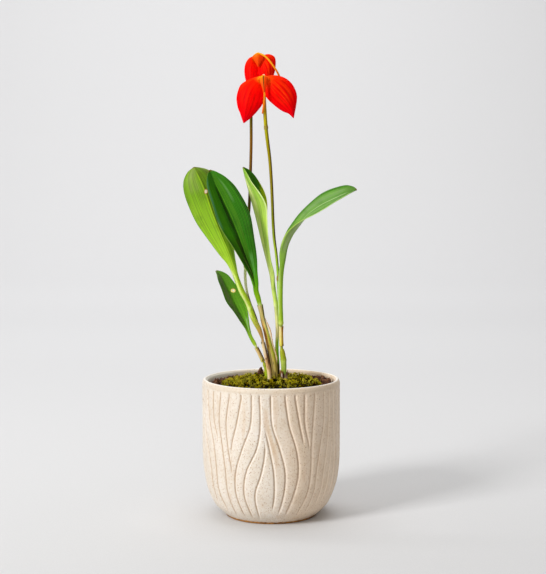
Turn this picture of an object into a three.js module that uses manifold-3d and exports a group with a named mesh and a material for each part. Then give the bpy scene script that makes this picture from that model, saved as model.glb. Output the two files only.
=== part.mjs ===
// A masdevallia orchid in its carved stoneware pot: five leaves and two flowers over mossed bark mix.
// Millimetres, +Z up. The origin is the centre of the pot's flat foot, and the plant's front faces -Y.
import * as THREE from 'three';
import Module from 'manifold-3d';

const wasm = await Module();
wasm.setup();

// Driving dimensions of the pot.
const POT_HEIGHT = 119;
const POT_RADIUS = 60;
const FOOT_RADIUS = 39.7;
const WALL_INSIDE_RADIUS = 55;
const FLOOR_INSIDE = 8;
const GROOVE_WIDTH = 1.4;
const GROOVE_DEPTH = 0.9;
const GROOVE_TOP = 111;
const GROOVE_FADE = 4;

// Driving dimensions of what fills it.
const CLEARANCE = 0.3;
const MIX_RADIUS = 54.2;
const MIX_TOP = 109.7;
const PIT_FLOOR = 103;
const MOSS_RADIUS = 45.4;
const MOSS_BASE = 110;
const MOSS_CREST = 121;
const ROOT_CHANNEL_GAP = 0.4;
const RHIZOME_LEVEL = 105.6;
const RHIZOME_RADIUS = 2.2;

// Driving dimensions of the plant's skins.
const BLADE_HALF = 0.55;
const MARGIN_HALF = 0.33;
const SEPAL_HALF = 0.42;
const SHEATH_WALL = 0.6;

// Colour, roughness and metalness of each material.
const MATERIALS = {
  stoneware: { color: 0xe6dccb, roughness: 0.5, metalness: 0 },
  bark: { color: 0x4a3222, roughness: 0.95, metalness: 0 },
  moss: { color: 0x6c7a1e, roughness: 0.95, metalness: 0 },
  root: { color: 0xc9bfa0, roughness: 0.8, metalness: 0 },
  leafPale: { color: 0x86ad3c, roughness: 0.45, metalness: 0 },
  leafDark: { color: 0x2e6b24, roughness: 0.4, metalness: 0 },
  papery: { color: 0xb79c72, roughness: 0.85, metalness: 0 },
  scape: { color: 0x6e6428, roughness: 0.55, metalness: 0 },
  scarlet: { color: 0xd81c10, roughness: 0.5, metalness: 0 },
  orange: { color: 0xf08a18, roughness: 0.5, metalness: 0 },
  pale: { color: 0xe9e0c4, roughness: 0.55, metalness: 0 },
};

const plant = new THREE.Group();

// Adds one named solid in its material to the group.
function addPiece(name, material, geometry) {
  const mesh = new THREE.Mesh(geometry, new THREE.MeshStandardMaterial(MATERIALS[material]));
  mesh.name = name;
  plant.add(mesh);
}

// ---- Skins of points -------------------------------------------------------------------------

// An indexed geometry from points and triangles, turned so that its faces point out.
function skin(points, triangles) {
  let volume = 0;
  for (const [a, b, c] of triangles) {
    volume += points[a].dot(points[b].clone().cross(points[c]));
  }
  const outward = volume > 0 ? triangles : triangles.map(([a, b, c]) => [a, c, b]);
  const geometry = new THREE.BufferGeometry();
  geometry.setAttribute('position', new THREE.Float32BufferAttribute(points.flatMap((p) => p.toArray()), 3));
  geometry.setIndex(outward.flat());
  return geometry;
}

// A closed skin through rings of equally many points, with a cap on both ends.
function loft(rings) {
  const count = rings[0].length;
  const points = rings.flat();
  const triangles = [];
  for (let j = 0; j < rings.length - 1; j += 1) {
    for (let i = 0; i < count; i += 1) {
      const next = (i + 1) % count;
      const [a, b, c, d] = [j * count + i, j * count + next, (j + 1) * count + next, (j + 1) * count + i];
      triangles.push([a, b, c], [a, c, d]);
    }
  }
  for (const [j, flip] of [[0, true], [rings.length - 1, false]]) {
    const centre = rings[j].reduce((sum, p) => sum.add(p), new THREE.Vector3()).divideScalar(count);
    points.push(centre);
    for (let i = 0; i < count; i += 1) {
      const [a, b] = [j * count + i, j * count + ((i + 1) % count)];
      triangles.push(flip ? [points.length - 1, b, a] : [points.length - 1, a, b]);
    }
  }
  return skin(points, triangles);
}

// A closed skin through rings that run up the outside, down the inside and back to the first ring.
function loftShell(rings) {
  const count = rings[0].length;
  const triangles = [];
  for (let j = 0; j < rings.length; j += 1) {
    const after = (j + 1) % rings.length;
    for (let i = 0; i < count; i += 1) {
      const next = (i + 1) % count;
      const [a, b, c, d] = [j * count + i, j * count + next, after * count + next, after * count + i];
      triangles.push([a, b, c], [a, c, d]);
    }
  }
  return skin(rings.flat(), triangles);
}

// Rows of numbers made finer, on a smooth curve through every column.
function refine(rows, steps) {
  const fine = [];
  for (let i = 0; i < rows.length - 1; i += 1) {
    const before = rows[Math.max(i - 1, 0)];
    const after = rows[Math.min(i + 2, rows.length - 1)];
    for (let k = 0; k < steps; k += 1) {
      const t = k / steps;
      fine.push(rows[i].map((value, c) => {
        const [p, q, r] = [before[c], rows[i + 1][c], after[c]];
        const square = 2 * p - 5 * value + 4 * q - r;
        const cube = 3 * value - p - 3 * q + r;
        return 0.5 * (2 * value + (q - p) * t + square * t * t + cube * t * t * t);
      }));
    }
  }
  fine.push(rows.at(-1));
  return fine;
}

const point = (row) => new THREE.Vector3(row[0], row[1], row[2]);

// Rings round a path of [x, y, z, radius] rows, without twist.
function ringsAlong(rows, sides, radiusAt = (row) => row[3]) {
  let side = new THREE.Vector3(1, 0, 0);
  return rows.map((row, i) => {
    const ahead = point(rows[Math.min(i + 1, rows.length - 1)]);
    const tangent = ahead.sub(point(rows[Math.max(i - 1, 0)])).normalize();
    side = side.clone().addScaledVector(tangent, -side.dot(tangent)).normalize();
    const other = tangent.clone().cross(side);
    return Array.from({ length: sides }, (_, k) => {
      const angle = (2 * Math.PI * k) / sides;
      return point(row)
        .addScaledVector(side, Math.cos(angle) * radiusAt(row))
        .addScaledVector(other, Math.sin(angle) * radiusAt(row));
    });
  });
}

// ---- Joining and cutting ---------------------------------------------------------------------

function toSolid(geometry) {
  return new wasm.Manifold(new wasm.Mesh({
    numProp: 3,
    vertProperties: new Float32Array(geometry.attributes.position.array),
    triVerts: new Uint32Array(geometry.index.array),
  }));
}

function toGeometry(solid) {
  const mesh = solid.getMesh();
  const geometry = new THREE.BufferGeometry();
  geometry.setAttribute('position', new THREE.Float32BufferAttribute(mesh.vertProperties, 3));
  geometry.setIndex(Array.from(mesh.triVerts));
  return geometry;
}

const joined = (geometries) => toGeometry(
  geometries.map(toSolid).reduce((whole, part) => whole.add(part)),
);

const cut = (body, tools) => toGeometry(
  tools.map(toSolid).reduce((rest, tool) => rest.subtract(tool), toSolid(body)),
);

// A repeatable value from 0 to 1 for a pair of whole numbers.
function scatter(i, j) {
  const wave = Math.sin(i * 127.1 + j * 311.7) * 43758.5453;
  return wave - Math.floor(wave);
}

// ---- Pot -------------------------------------------------------------------------------------

// Outer radius of the thrown body at each height, above the foot.
const BODY_PROFILE = [
  [2.4, 41], [4, 43], [7.6, 46.9], [11, 49.9], [18, 53.4], [25, 56], [32, 57.8], [43, 59.3], [56, POT_RADIUS],
  [POT_HEIGHT, POT_RADIUS],
];
const LIP_PROFILE = [
  [115.6, 59.9], [117.9, 59.2], [POT_HEIGHT, 57.6], [118, 55.8], [115.6, WALL_INSIDE_RADIUS],
];
const INSIDE_PROFILE = [[60, WALL_INSIDE_RADIUS], [34, 53], [18, 48.6], [10.5, 43], [FLOOR_INSIDE, 38]];
const FOOT_PROFILE = [[1.6, FOOT_RADIUS], [0.6, FOOT_RADIUS], [0, 39]];

// Carved lines on the front: angle from the front in degrees at each of these heights, then the
// heights between which the line is open. Lines that run together are carved into one another.
const LINE_HEIGHTS = [110, 88, 68, 48, 28, 8];
const FRONT_LINES = [
  { angles: [-76, -72.5, -66.8, -60.5, -60.6, -62], from: 14, to: GROOVE_TOP },
  { angles: [-66, -62, -55.5, -52, -52.5, -49], from: 8, to: GROOVE_TOP },
  { angles: [-56, -54.8, -47.3, -45, -46, -44], from: 72, to: GROOVE_TOP },
  { angles: [-46, -48, -44.2, -41, -41, -39], from: 5, to: GROOVE_TOP },
  { angles: [-36.5, -40, -38, -34.4, -36, -34], from: 44, to: GROOVE_TOP },
  { angles: [-25, -29.5, -34.2, -32.4, -34, -31.6], from: 62, to: GROOVE_TOP },
  { angles: [-16, -17, -24, -30.2, -31.9, -28.5], from: 5, to: GROOVE_TOP },
  { angles: [-9.5, -8.8, -12, -20.8, -23.8, -20], from: 5, to: GROOVE_TOP },
  { angles: [-7, -6.9, -5, -8, -14, -12.5], from: 5, to: 75 },
  { angles: [-4, -5.2, -1.4, 2.1, 2.5, 0], from: 14, to: 85 },
  { angles: [-0.5, 0.8, 7, 11.4, 10.5, 6], from: 10, to: GROOVE_TOP },
  { angles: [11.3, 14.5, 20.4, 22.7, 19.3, 13.5], from: 8, to: GROOVE_TOP },
  { angles: [19.6, 23.5, 27.4, 27.6, 25, 19], from: 70, to: GROOVE_TOP },
  { angles: [28, 28.2, 32.1, 31, 29, 22.5], from: 66, to: GROOVE_TOP },
  { angles: [38, 36, 34.5, 34.3, 32.3, 25.5], from: 8, to: GROOVE_TOP },
  { angles: [48.5, 48, 44, 40.5, 39.3, 34.5], from: 10, to: GROOVE_TOP },
  { angles: [55, 55, 52.4, 48.7, 47.3, 44], from: 14, to: GROOVE_TOP },
  { angles: [58.7, 58.9, 59, 56.3, 54.7, 52], from: 18, to: 72 },
  { angles: [62.2, 63, 64, 64.3, 63.7, 60], from: 20, to: GROOVE_TOP },
  { angles: [71.5, 72.7, 73.8, 75, 72.7, 69], from: 20, to: GROOVE_TOP },
];
const BACK_COPY = FRONT_LINES.slice(2, 17);
// Plain lines on the sides: angle at the top and at the bottom, then the heights it is open between.
const RIGHT_SIDE_LINES = [
  [81.5, 80, 16, GROOVE_TOP], [91, 91, 10, GROOVE_TOP], [101, 103, 13, GROOVE_TOP],
  [111, 115, 16, GROOVE_TOP], [118.5, 126, 10, 72],
];
const LEFT_SIDE_LINES = [
  [239.5, 234, 18, 72], [246, 245, 13, GROOVE_TOP], [254.5, 256, 16, GROOVE_TOP],
  [263, 267, 10, GROOVE_TOP], [271, 278, 13, GROOVE_TOP], [279, 289, 16, GROOVE_TOP],
];

// A side line sways gently on its way down.
function sideLine([top, bottom, from, to], index) {
  const angles = LINE_HEIGHTS.map((height) => (
    THREE.MathUtils.lerp(bottom, top, height / GROOVE_TOP) + 1.2 * Math.sin(height / 17 + index)));
  return { angles, from, to };
}

const turned = (line, turn) => ({ ...line, angles: line.angles.map((angle) => angle + turn) });

const CARVED_LINES = [
  ...FRONT_LINES,
  ...RIGHT_SIDE_LINES.map(sideLine),
  ...BACK_COPY.map((line) => turned(line, 180)),
  ...LEFT_SIDE_LINES.map(sideLine),
];

// Linear value of a [height, value] list at a height.
function along(profile, height) {
  const above = profile.findIndex(([level]) => level >= height);
  if (above < 1) {
    return profile.at(above)[1];
  }
  const [[low, a], [high, b]] = [profile[above - 1], profile[above]];
  return a + ((b - a) * (height - low)) / (high - low);
}

// A point on a circle round the pot's axis, with its angle in degrees from the front.
function onPot(angle, radius, height) {
  const turn = THREE.MathUtils.degToRad(angle);
  return new THREE.Vector3(radius * Math.sin(turn), -radius * Math.cos(turn), height);
}

// The pot is one skin: three columns of points for each carved line on the outside (its two edges
// and its bottom), and one column for each line on the foot, the lip and the inside.
function pot() {
  const lineTable = CARVED_LINES.map((line) => {
    const rows = LINE_HEIGHTS.map((height, i) => [height, line.angles[i]]);
    return refine(rows.reverse(), 4);
  });
  const bodyHeights = [3.4, 5.5, 8.5, 13, 19, 27, 36, 45, 54, 63, 72, 81, 90, 99, 106.5, GROOVE_TOP];
  const outer = bodyHeights.map((height) => CARVED_LINES.flatMap((line, i) => {
    const radius = along(BODY_PROFILE, height);
    const angle = along(lineTable[i], height);
    const half = THREE.MathUtils.radToDeg(GROOVE_WIDTH / 2 / radius);
    const open = Math.min((height - line.from) / GROOVE_FADE, (line.to - height) / GROOVE_FADE);
    const depth = GROOVE_DEPTH * THREE.MathUtils.clamp(open, 0, 1);
    return [
      onPot(angle - half, radius, height),
      onPot(angle, radius - depth, height),
      onPot(angle + half, radius, height),
    ];
  }));
  const plainRing = (profile, heightForAngle) => profile.map(([height, radius]) => CARVED_LINES.map(
    (_, i) => onPot(along(lineTable[i], heightForAngle), radius, height),
  ));
  const upper = plainRing([...LIP_PROFILE, ...INSIDE_PROFILE], GROOVE_TOP);
  const lower = plainRing(FOOT_PROFILE, 0);

  const points = [];
  const addRing = (ring) => ring.map((p) => points.push(p) - 1);
  const triangles = [];
  const stitch = (low, high) => {
    for (let i = 0; i < low.length; i += 1) {
      const next = (i + 1) % low.length;
      triangles.push([low[i], low[next], high[next]], [low[i], high[next], high[i]]);
    }
  };
  // Joins a ring of three points for each line (low) to a ring of one point for each line (high).
  const gather = (low, high, flip) => {
    const add = (a, b, c) => triangles.push(flip ? [a, c, b] : [a, b, c]);
    for (let i = 0; i < high.length; i += 1) {
      const next = (i + 1) % high.length;
      const [left, bottom, right, nextLeft] = [low[3 * i], low[3 * i + 1], low[3 * i + 2], low[3 * next]];
      add(left, bottom, high[i]);
      add(bottom, right, high[i]);
      add(right, nextLeft, high[next]);
      add(right, high[next], high[i]);
    }
  };
  const outerRings = outer.map(addRing);
  const upperRings = upper.map(addRing);
  const lowerRings = lower.map(addRing);
  for (let j = 0; j < outerRings.length - 1; j += 1) {
    stitch(outerRings[j], outerRings[j + 1]);
  }
  gather(outerRings.at(-1), upperRings[0], false);
  gather(outerRings[0], lowerRings[0], true);
  for (let j = 0; j < upperRings.length - 1; j += 1) {
    stitch(upperRings[j], upperRings[j + 1]);
  }
  for (let j = 0; j < lowerRings.length - 1; j += 1) {
    stitch(lowerRings[j + 1], lowerRings[j]);
  }
  const floorCentre = points.push(new THREE.Vector3(0, 0, FLOOR_INSIDE)) - 1;
  const footCentre = points.push(new THREE.Vector3(0, 0, 0)) - 1;
  const [floorRing, footRing] = [upperRings.at(-1), lowerRings.at(-1)];
  for (let i = 0; i < floorRing.length; i += 1) {
    const next = (i + 1) % floorRing.length;
    triangles.push([floorCentre, floorRing[i], floorRing[next]], [footCentre, footRing[next], footRing[i]]);
  }
  return skin(points, triangles);
}

addPiece('pot', 'stoneware', pot());

// ---- Rhizome and roots -----------------------------------------------------------------------

// The creeping rhizome zigzags under the stems, with one side branch to the stem at the back.
const RHIZOME_PATH = [
  [-6.5, 2.6, RHIZOME_LEVEL, 1.4], [-3.6, 1.9, RHIZOME_LEVEL, RHIZOME_RADIUS],
  [-1.2, -1.5, RHIZOME_LEVEL, RHIZOME_RADIUS], [2.8, 2.9, RHIZOME_LEVEL, RHIZOME_RADIUS],
  [7, 2.2, RHIZOME_LEVEL, RHIZOME_RADIUS], [11, 0.2, RHIZOME_LEVEL, RHIZOME_RADIUS],
  [14.2, -0.8, RHIZOME_LEVEL, 1.3],
];
const RHIZOME_BRANCH = [
  [3.4, 3.4, RHIZOME_LEVEL, 1.8], [5.6, 8.4, RHIZOME_LEVEL, RHIZOME_RADIUS], [6.2, 11, RHIZOME_LEVEL, 1.3],
];
// Roots leave the rhizome at [x, y] and lean out to [x, y, z] at their tips.
const ROOTS = [
  { start: [-4.5, 2], tip: [-26, 8, 52] },
  { start: [-1.2, -1.2], tip: [-12, -24, 44] },
  { start: [2.8, 2.9], tip: [3, -8, 34] },
  { start: [5.6, 8], tip: [2, 30, 48] },
  { start: [8, 1.8], tip: [24, 14, 40] },
  { start: [12, 0], tip: [30, -14, 56] },
];
const ROOT_SIDES = 6;

// A root's centre line: it drops from the rhizome, then spreads with a slight wave.
function rootPath({ start: [x, y], tip: [tipX, tipY, tipZ] }, index) {
  const rows = [];
  const steps = 6;
  for (let k = 0; k <= steps; k += 1) {
    const t = k / steps;
    const spread = t ** 1.6;
    const wave = 1.6 * Math.sin(5 * t + index) * t;
    rows.push([x + (tipX - x) * spread + wave, y + (tipY - y) * spread - wave, RHIZOME_LEVEL
      + (tipZ - RHIZOME_LEVEL) * t, 1.3 - 0.5 * t]);
  }
  return rows;
}

const rootPaths = ROOTS.map(rootPath);
addPiece('rhizome_roots', 'root', joined([
  loft(ringsAlong(refine(RHIZOME_PATH, 2), 8)),
  loft(ringsAlong(RHIZOME_BRANCH, 8)),
  ...rootPaths.map((rows) => loft(ringsAlong(rows, ROOT_SIDES))),
]));

// ---- Potting mix -----------------------------------------------------------------------------

// Bark fills the pot to just under the lip, with a raised ring of coarse chips round the moss. It is
// open round the rhizome and along each root.
const MIX_SIDES = 36;
const MIX_PROFILE = [
  [FLOOR_INSIDE + CLEARANCE, 37.4], [10.9, 42.2], [18.4, 47.8], [34.3, 52.2], [60, MIX_RADIUS],
];
const LEDGE_FOOT = 47.4;
const LEDGE_INSIDE = 48.4;
const LEDGE_TOP = 112.8;
const EDGE_CHIPS = 34;
const PIT_CENTRE = [3.8, 3.6];
const PIT_HALF = [13.5, 11];

function mixBody() {
  const level = (height, radius, rough) => Array.from({ length: MIX_SIDES }, (_, i) => (
    onPot((360 * i) / MIX_SIDES, radius, height + rough * scatter(i, Math.round(radius)))));
  return loft([
    ...MIX_PROFILE.map(([height, radius]) => level(height, radius, 0)),
    level(LEDGE_TOP - 0.6, MIX_RADIUS, 1.6),
    level(LEDGE_TOP - 0.6, 51.4, 1.2),
    level(LEDGE_TOP - 0.6, LEDGE_INSIDE, 0.8),
    level(MIX_TOP, LEDGE_FOOT, 0),
    level(MIX_TOP, 20, 0),
  ]);
}

// One broken chip of bark: a block whose top corners are drawn in unevenly.
function barkChip([x, y, level], turn, [length, width, height], seed) {
  const corners = [];
  for (const top of [0, 1]) {
    for (const [k, [sx, sy]] of [[-1, -1], [1, -1], [1, 1], [-1, 1]].entries()) {
      const draw = 1 - top * (0.1 + 0.5 * scatter(seed + 7, k));
      const rise = top * height * (0.6 + 0.4 * scatter(seed, k + 3));
      corners.push(new THREE.Vector3(0.5 * length * sx * draw, 0.5 * width * sy * draw, rise));
    }
  }
  const geometry = new THREE.BufferGeometry().setFromPoints(corners);
  geometry.setIndex([0, 2, 1, 0, 3, 2, 4, 5, 6, 4, 6, 7, 0, 1, 5, 0, 5, 4, 1, 2, 6, 1, 6, 5, 2, 3, 7, 2, 7, 6,
    3, 0, 4, 3, 4, 7]);
  return geometry.rotateZ(THREE.MathUtils.degToRad(turn)).translate(x, y, level);
}

// Chip number i of the ring round the moss, sunk into the mix.
function edgeChip(i) {
  const angle = (360 * (i + 0.6 * scatter(i, 1))) / EDGE_CHIPS;
  const place = onPot(angle, 50.6 + 0.8 * (scatter(i, 2) - 0.5), LEDGE_TOP - 1.6);
  const size = [4 + 2 * scatter(i, 3), 2 + scatter(i, 4), 3.4 + 3.4 * scatter(i, 5)];
  return barkChip(place.toArray(), angle + 24 * (scatter(i, 6) - 0.5), size, i);
}

// The pocket that the rhizome lies in, open to the top of the mix.
function pit() {
  const level = (height) => Array.from({ length: 16 }, (_, i) => {
    const turn = (2 * Math.PI * i) / 16;
    const [x, y] = [PIT_HALF[0] * Math.cos(turn), PIT_HALF[1] * Math.sin(turn)];
    return new THREE.Vector3(PIT_CENTRE[0] + x, PIT_CENTRE[1] + y, height);
  });
  return loft([level(PIT_FLOOR), level(MIX_TOP + 2)]);
}

// A root's channel: the root's own path, a little wider and a little longer.
function rootChannel(rows) {
  const [before, last] = [point(rows.at(-2)), point(rows.at(-1))];
  const end = last.clone().addScaledVector(last.clone().sub(before).normalize(), 1);
  const longer = [...rows, [...end.toArray(), rows.at(-1)[3]]];
  return loft(ringsAlong(longer, ROOT_SIDES, (row) => row[3] + ROOT_CHANNEL_GAP));
}

const edgeChips = Array.from({ length: EDGE_CHIPS }, (_, i) => edgeChip(i));
const filling = joined([mixBody(), ...edgeChips]);
addPiece('potting_mix', 'bark', cut(filling, [pit(), ...rootPaths.map(rootChannel)]));

// ---- Leaves ----------------------------------------------------------------------------------

// Each leaf: stem rows [x, y, z, radius] from the rhizome up, then blade rows
// [left margin, midrib, right margin] up to the tip. Stems are thin where a dry sheath wraps them.
const STEM_FOOT = RHIZOME_LEVEL + RHIZOME_RADIUS + CLEARANCE;
const LEAVES = {
  leaf_a: {
    material: 'leafPale',
    stem: [
      [-1.3, -1.8, STEM_FOOT, 1], [-1.5, -2, 122.5, 1], [-3, -2, 131.5, 1], [-4.5, -2, 139.5, 1],
      [-7, -2, 151.5, 1], [-10.5, -2.5, 161, 2.1], [-16, -3, 171.5, 2.5], [-21, -2.5, 185, 2.6],
      [-26.5, -2, 195.5, 2.5], [-31, -1, 208.5, 2.4],
    ],
    blade: [
      [[-37.5, 2, 217.5], [-33.7, 0, 218.5], [-31, 4, 220]],
      [[-44, 5.5, 225], [-36.8, 1, 228], [-32.5, 8.5, 230]],
      [[-56.5, 7, 241], [-44, 2.5, 245.5], [-36, 12.5, 249]],
      [[-66, 8, 256], [-50.5, 4, 262], [-40.5, 16, 266]],
      [[-74, 9, 274], [-57, 6, 281], [-45.5, 19, 285.5]],
      [[-76, 10.5, 287], [-61.5, 7, 291.5], [-50.5, 18, 296]],
      [[-73, 12, 296], [-64.5, 7.5, 297.5], [-57, 14, 300]],
    ],
    tip: [-66.5, 9, 301.5],
  },
  leaf_b: {
    material: 'leafDark',
    stem: [
      [2.8, 2.9, STEM_FOOT, 2.1], [2.5, 3, 125.5, 2.1], [1, 3, 136, 2.3], [-1, 2.5, 145, 1.9],
      [-4, 1.5, 157.5, 1.4], [-7, 0.5, 169.5, 1.3], [-8.5, 0, 177.5, 1.4], [-11, -0.5, 188, 2.2],
      [-13, -1, 195, 2.3],
    ],
    blade: [
      [[-16, -2, 201], [-14, -1, 201.5], [-11, -2.5, 202.5]],
      [[-18.8, -5, 209], [-15.8, -1.5, 210], [-11.8, -5, 212]],
      [[-24, -10, 219], [-20, -2, 221], [-12.3, -6.5, 224.5]],
      [[-34, -13.5, 235], [-26.5, -2.5, 239], [-14.5, -9.5, 244]],
      [[-44.5, -15, 253.5], [-34, -3, 258], [-19, -10, 264.5]],
      [[-51, -15, 272.5], [-42.5, -3, 276.5], [-28.5, -10.5, 283]],
      [[-54.2, -12.5, 285], [-48, -3, 288], [-38, -9.5, 292.5]],
      [[-54.5, -8.5, 293], [-51, -3.5, 295], [-46, -7.5, 297.3]],
    ],
    tip: [-52.5, -4.5, 299],
  },
  leaf_c: {
    material: 'leafPale',
    stem: [
      [5.6, 8.4, STEM_FOOT, 1.9], [5.5, 9, 128, 1.9], [5, 9, 136, 1.9], [5, 8.5, 147, 1.5],
      [5.5, 8, 160, 1.6], [5, 7.5, 173, 1.8], [4, 7, 183.5, 1.9], [2.5, 6.5, 194.5, 1.9],
    ],
    blade: [
      [[2.8, 3.6, 208.5], [0.4, 6, 208], [2.5, 8.5, 209]],
      [[-0.3, 1.5, 223], [-3.4, 6, 222], [-0.6, 10.5, 223.5]],
      [[-2.4, -0.5, 238.5], [-7.6, 5.5, 237], [-2.8, 12, 239]],
      [[-3, -2.5, 256], [-11.6, 5, 254], [-3.3, 12.5, 257]],
      [[-4, -3.5, 268], [-15.2, 5, 268], [-3.4, 12.3, 270]],
      [[-9, -4.5, 278.5], [-18.5, 5, 280], [-6, 11.5, 280.5]],
      [[-16.5, -2.5, 289], [-21.5, 5, 291], [-12, 9.5, 291.5]],
      [[-21.3, 1, 297.5], [-23.3, 5, 298], [-18, 7.3, 298.5]],
    ],
    tip: [-24, 5, 301.5],
  },
  leaf_d: {
    material: 'leafDark',
    stem: [
      [11, 0.2, STEM_FOOT, 2.2], [11, 0, 125, 2.3], [10.6, 0, 135, 2.5], [9.5, 0, 142.5, 2.1],
      [9, 0, 146.5, 1.1], [8.5, 0, 162, 1.1], [8.4, 0, 167.5, 2.1], [8, 0, 182, 2.1], [8, 0, 195, 2.1],
      [8.5, 0, 211.5, 2.2],
    ],
    blade: [
      [[7, -1.5, 224.5], [10.8, 0, 223.5], [7.2, 2, 224.5]],
      [[8.2, -3, 234], [13.4, 0, 234], [8.4, 3, 235]],
      [[12, -5, 243.5], [17.9, 0, 243], [12.8, 5.5, 245]],
      [[18, -7.5, 250], [22.8, 0, 250], [18.5, 7.3, 253.5]],
      [[26, -9.3, 256.3], [28.2, 0.5, 256.8], [25.2, 9, 262.5]],
      [[35.6, -10, 261], [34.8, 1, 263], [33, 9.5, 270.5]],
      [[46.6, -10, 266.5], [44.5, 1.5, 269.3], [42.5, 9.5, 278]],
      [[57.5, -9, 273.5], [55.8, 2, 274.8], [53.2, 10, 283]],
      [[66, -6.5, 278.7], [64.8, 2.5, 279], [64, 8.5, 286]],
      [[71.3, -2.5, 281.3], [70.8, 2.5, 281.5], [70.8, 6.3, 284.8]],
    ],
    tip: [73.6, 2.5, 282.2],
  },
  leaf_e: {
    material: 'leafDark',
    stem: [
      [-3.6, 1.8, STEM_FOOT, 1.7], [-4, 2, 124, 1.7], [-5.6, 2.4, 130, 1.6], [-6.6, 2.8, 132.5, 1],
      [-9.5, 3.5, 138.5, 1], [-12.9, 4.8, 145.3, 1], [-14.6, 5.5, 148.5, 1.6], [-18, 7, 154.5, 1.6],
    ],
    blade: [
      [[-22, 6.5, 160.5], [-20.5, 8, 161], [-18.5, 7, 162]],
      [[-26, 4.5, 167], [-23.7, 8.5, 168], [-19.6, 6.5, 170]],
      [[-32.5, 2.5, 176], [-28.5, 9.5, 177], [-21, 6.8, 180.5]],
      [[-38.3, 2.3, 185], [-33.8, 10, 187], [-25.5, 7, 191]],
      [[-42.5, 3, 194], [-38, 10, 196], [-29.8, 7, 199]],
      [[-45.7, 5, 203], [-42, 10, 204.5], [-36.5, 7.7, 207.3]],
      [[-47, 7.5, 208], [-45.2, 10, 209], [-42, 8.5, 210.8]],
    ],
    tip: [-47.8, 10, 211.8],
  },
};

// Steps across a blade from the left margin to the right one, and how far it is creased, not cupped.
const ACROSS = [-1, -0.5, 0, 0.5, 1];
const CREASE = 0.5;

// A closed blade from rows of [left x3, midrib x3, right x3, half thickness, margin half thickness].
// Both faces are split into triangles along the same diagonals.
function bladeSkin(rows) {
  const centre = rows.map((row) => {
    const [left, middle, right] = [point(row), point(row.slice(3)), point(row.slice(6))];
    return ACROSS.map((u) => {
      const creased = middle.clone().lerp(u < 0 ? left : right, Math.abs(u));
      const cupped = middle.clone()
        .addScaledVector(right.clone().sub(left), u / 2)
        .addScaledVector(right.clone().add(left).multiplyScalar(0.5).sub(middle), u * u);
      return cupped.lerp(creased, CREASE);
    });
  });
  const width = ACROSS.length;
  const faces = [[], []];
  rows.forEach((row, j) => {
    const [below, above] = [centre[Math.max(j - 1, 0)], centre[Math.min(j + 1, rows.length - 1)]];
    ACROSS.forEach((u, i) => {
      const along = above[i].clone().sub(below[i]);
      const across = centre[j][Math.min(i + 1, width - 1)].clone().sub(centre[j][Math.max(i - 1, 0)]);
      const normal = along.cross(across).normalize();
      const half = row[10] + (row[9] - row[10]) * Math.sqrt(1 - u * u);
      faces[0].push(centre[j][i].clone().addScaledVector(normal, half));
      faces[1].push(centre[j][i].clone().addScaledVector(normal, -half));
    });
  });
  const size = rows.length * width;
  const triangles = [];
  const quad = (a, b, c, d) => triangles.push([a, b, c], [a, c, d]);
  for (let j = 0; j < rows.length - 1; j += 1) {
    const [low, high] = [j * width, (j + 1) * width];
    for (let i = 0; i < width - 1; i += 1) {
      quad(low + i, low + i + 1, high + i + 1, high + i);
      triangles.push([size + low + i, size + high + i + 1, size + low + i + 1]);
      triangles.push([size + low + i, size + high + i, size + high + i + 1]);
    }
    quad(low, high, size + high, size + low);
    quad(low + width - 1, size + low + width - 1, size + high + width - 1, high + width - 1);
  }
  for (let i = 0; i < width - 1; i += 1) {
    const last = (rows.length - 1) * width + i;
    quad(i, size + i, size + i + 1, i + 1);
    quad(last, last + 1, size + last + 1, size + last);
  }
  return skin(faces.flat(), triangles);
}

// The last row of a blade: its tip, a little wide, in the direction of the row before it.
function tipRow(tip, [left, , right], wide) {
  const side = point(right).sub(point(left)).setLength(wide / 2);
  return [...point(tip).sub(side).toArray(), ...tip, ...point(tip).add(side).toArray()];
}

// One leaf: its round stem and petiole run into the creased blade.
function leaf({ stem, blade, tip }) {
  const side = point(blade[0][2]).sub(point(blade[0][0])).normalize();
  const stemRows = stem.map((row, i) => {
    const ahead = point(stem[Math.min(i + 1, stem.length - 1)]);
    const tangent = ahead.sub(point(stem[Math.max(i - 1, 0)])).normalize();
    const across = side.clone().addScaledVector(tangent, -side.dot(tangent)).setLength(row[3]);
    const [left, right] = [point(row).sub(across), point(row).add(across)];
    return [...left.toArray(), ...row.slice(0, 3), ...right.toArray(), row[3], 0.2 * row[3]];
  });
  const stemHalf = stem.at(-1)[3];
  const bladeRows = blade.map((row, k) => {
    const half = BLADE_HALF + (stemHalf - BLADE_HALF) * Math.max(0, 1 - (k + 1) / 3);
    return [...row.flat(), half, MARGIN_HALF];
  });
  const lastRow = [...tipRow(tip, blade.at(-1), 1.6), MARGIN_HALF, MARGIN_HALF];
  const blended = refine([stemRows.at(-1), ...bladeRows, lastRow], 2);
  return bladeSkin([...stemRows.slice(0, -1), ...blended]);
}

for (const [name, shape] of Object.entries(LEAVES)) {
  addPiece(name, shape.material, leaf(shape));
}

// ---- Dry sheaths -----------------------------------------------------------------------------

// Each papery sheath is a thin tube round a leaf's stem between two heights.
const SHEATH_SIDES = 8;
const SHEATHS = [
  { name: 'sheath_a', leaf: 'leaf_a', from: 119, to: 152.5 },
  { name: 'sheath_b', leaf: 'leaf_b', from: 119, to: 183 },
  { name: 'sheath_d', leaf: 'leaf_d', from: 147, to: 164.5 },
  { name: 'sheath_d_base', leaf: 'leaf_d', from: 119, to: 126.5 },
  { name: 'sheath_e', leaf: 'leaf_e', from: 133, to: 145.5 },
];

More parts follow.
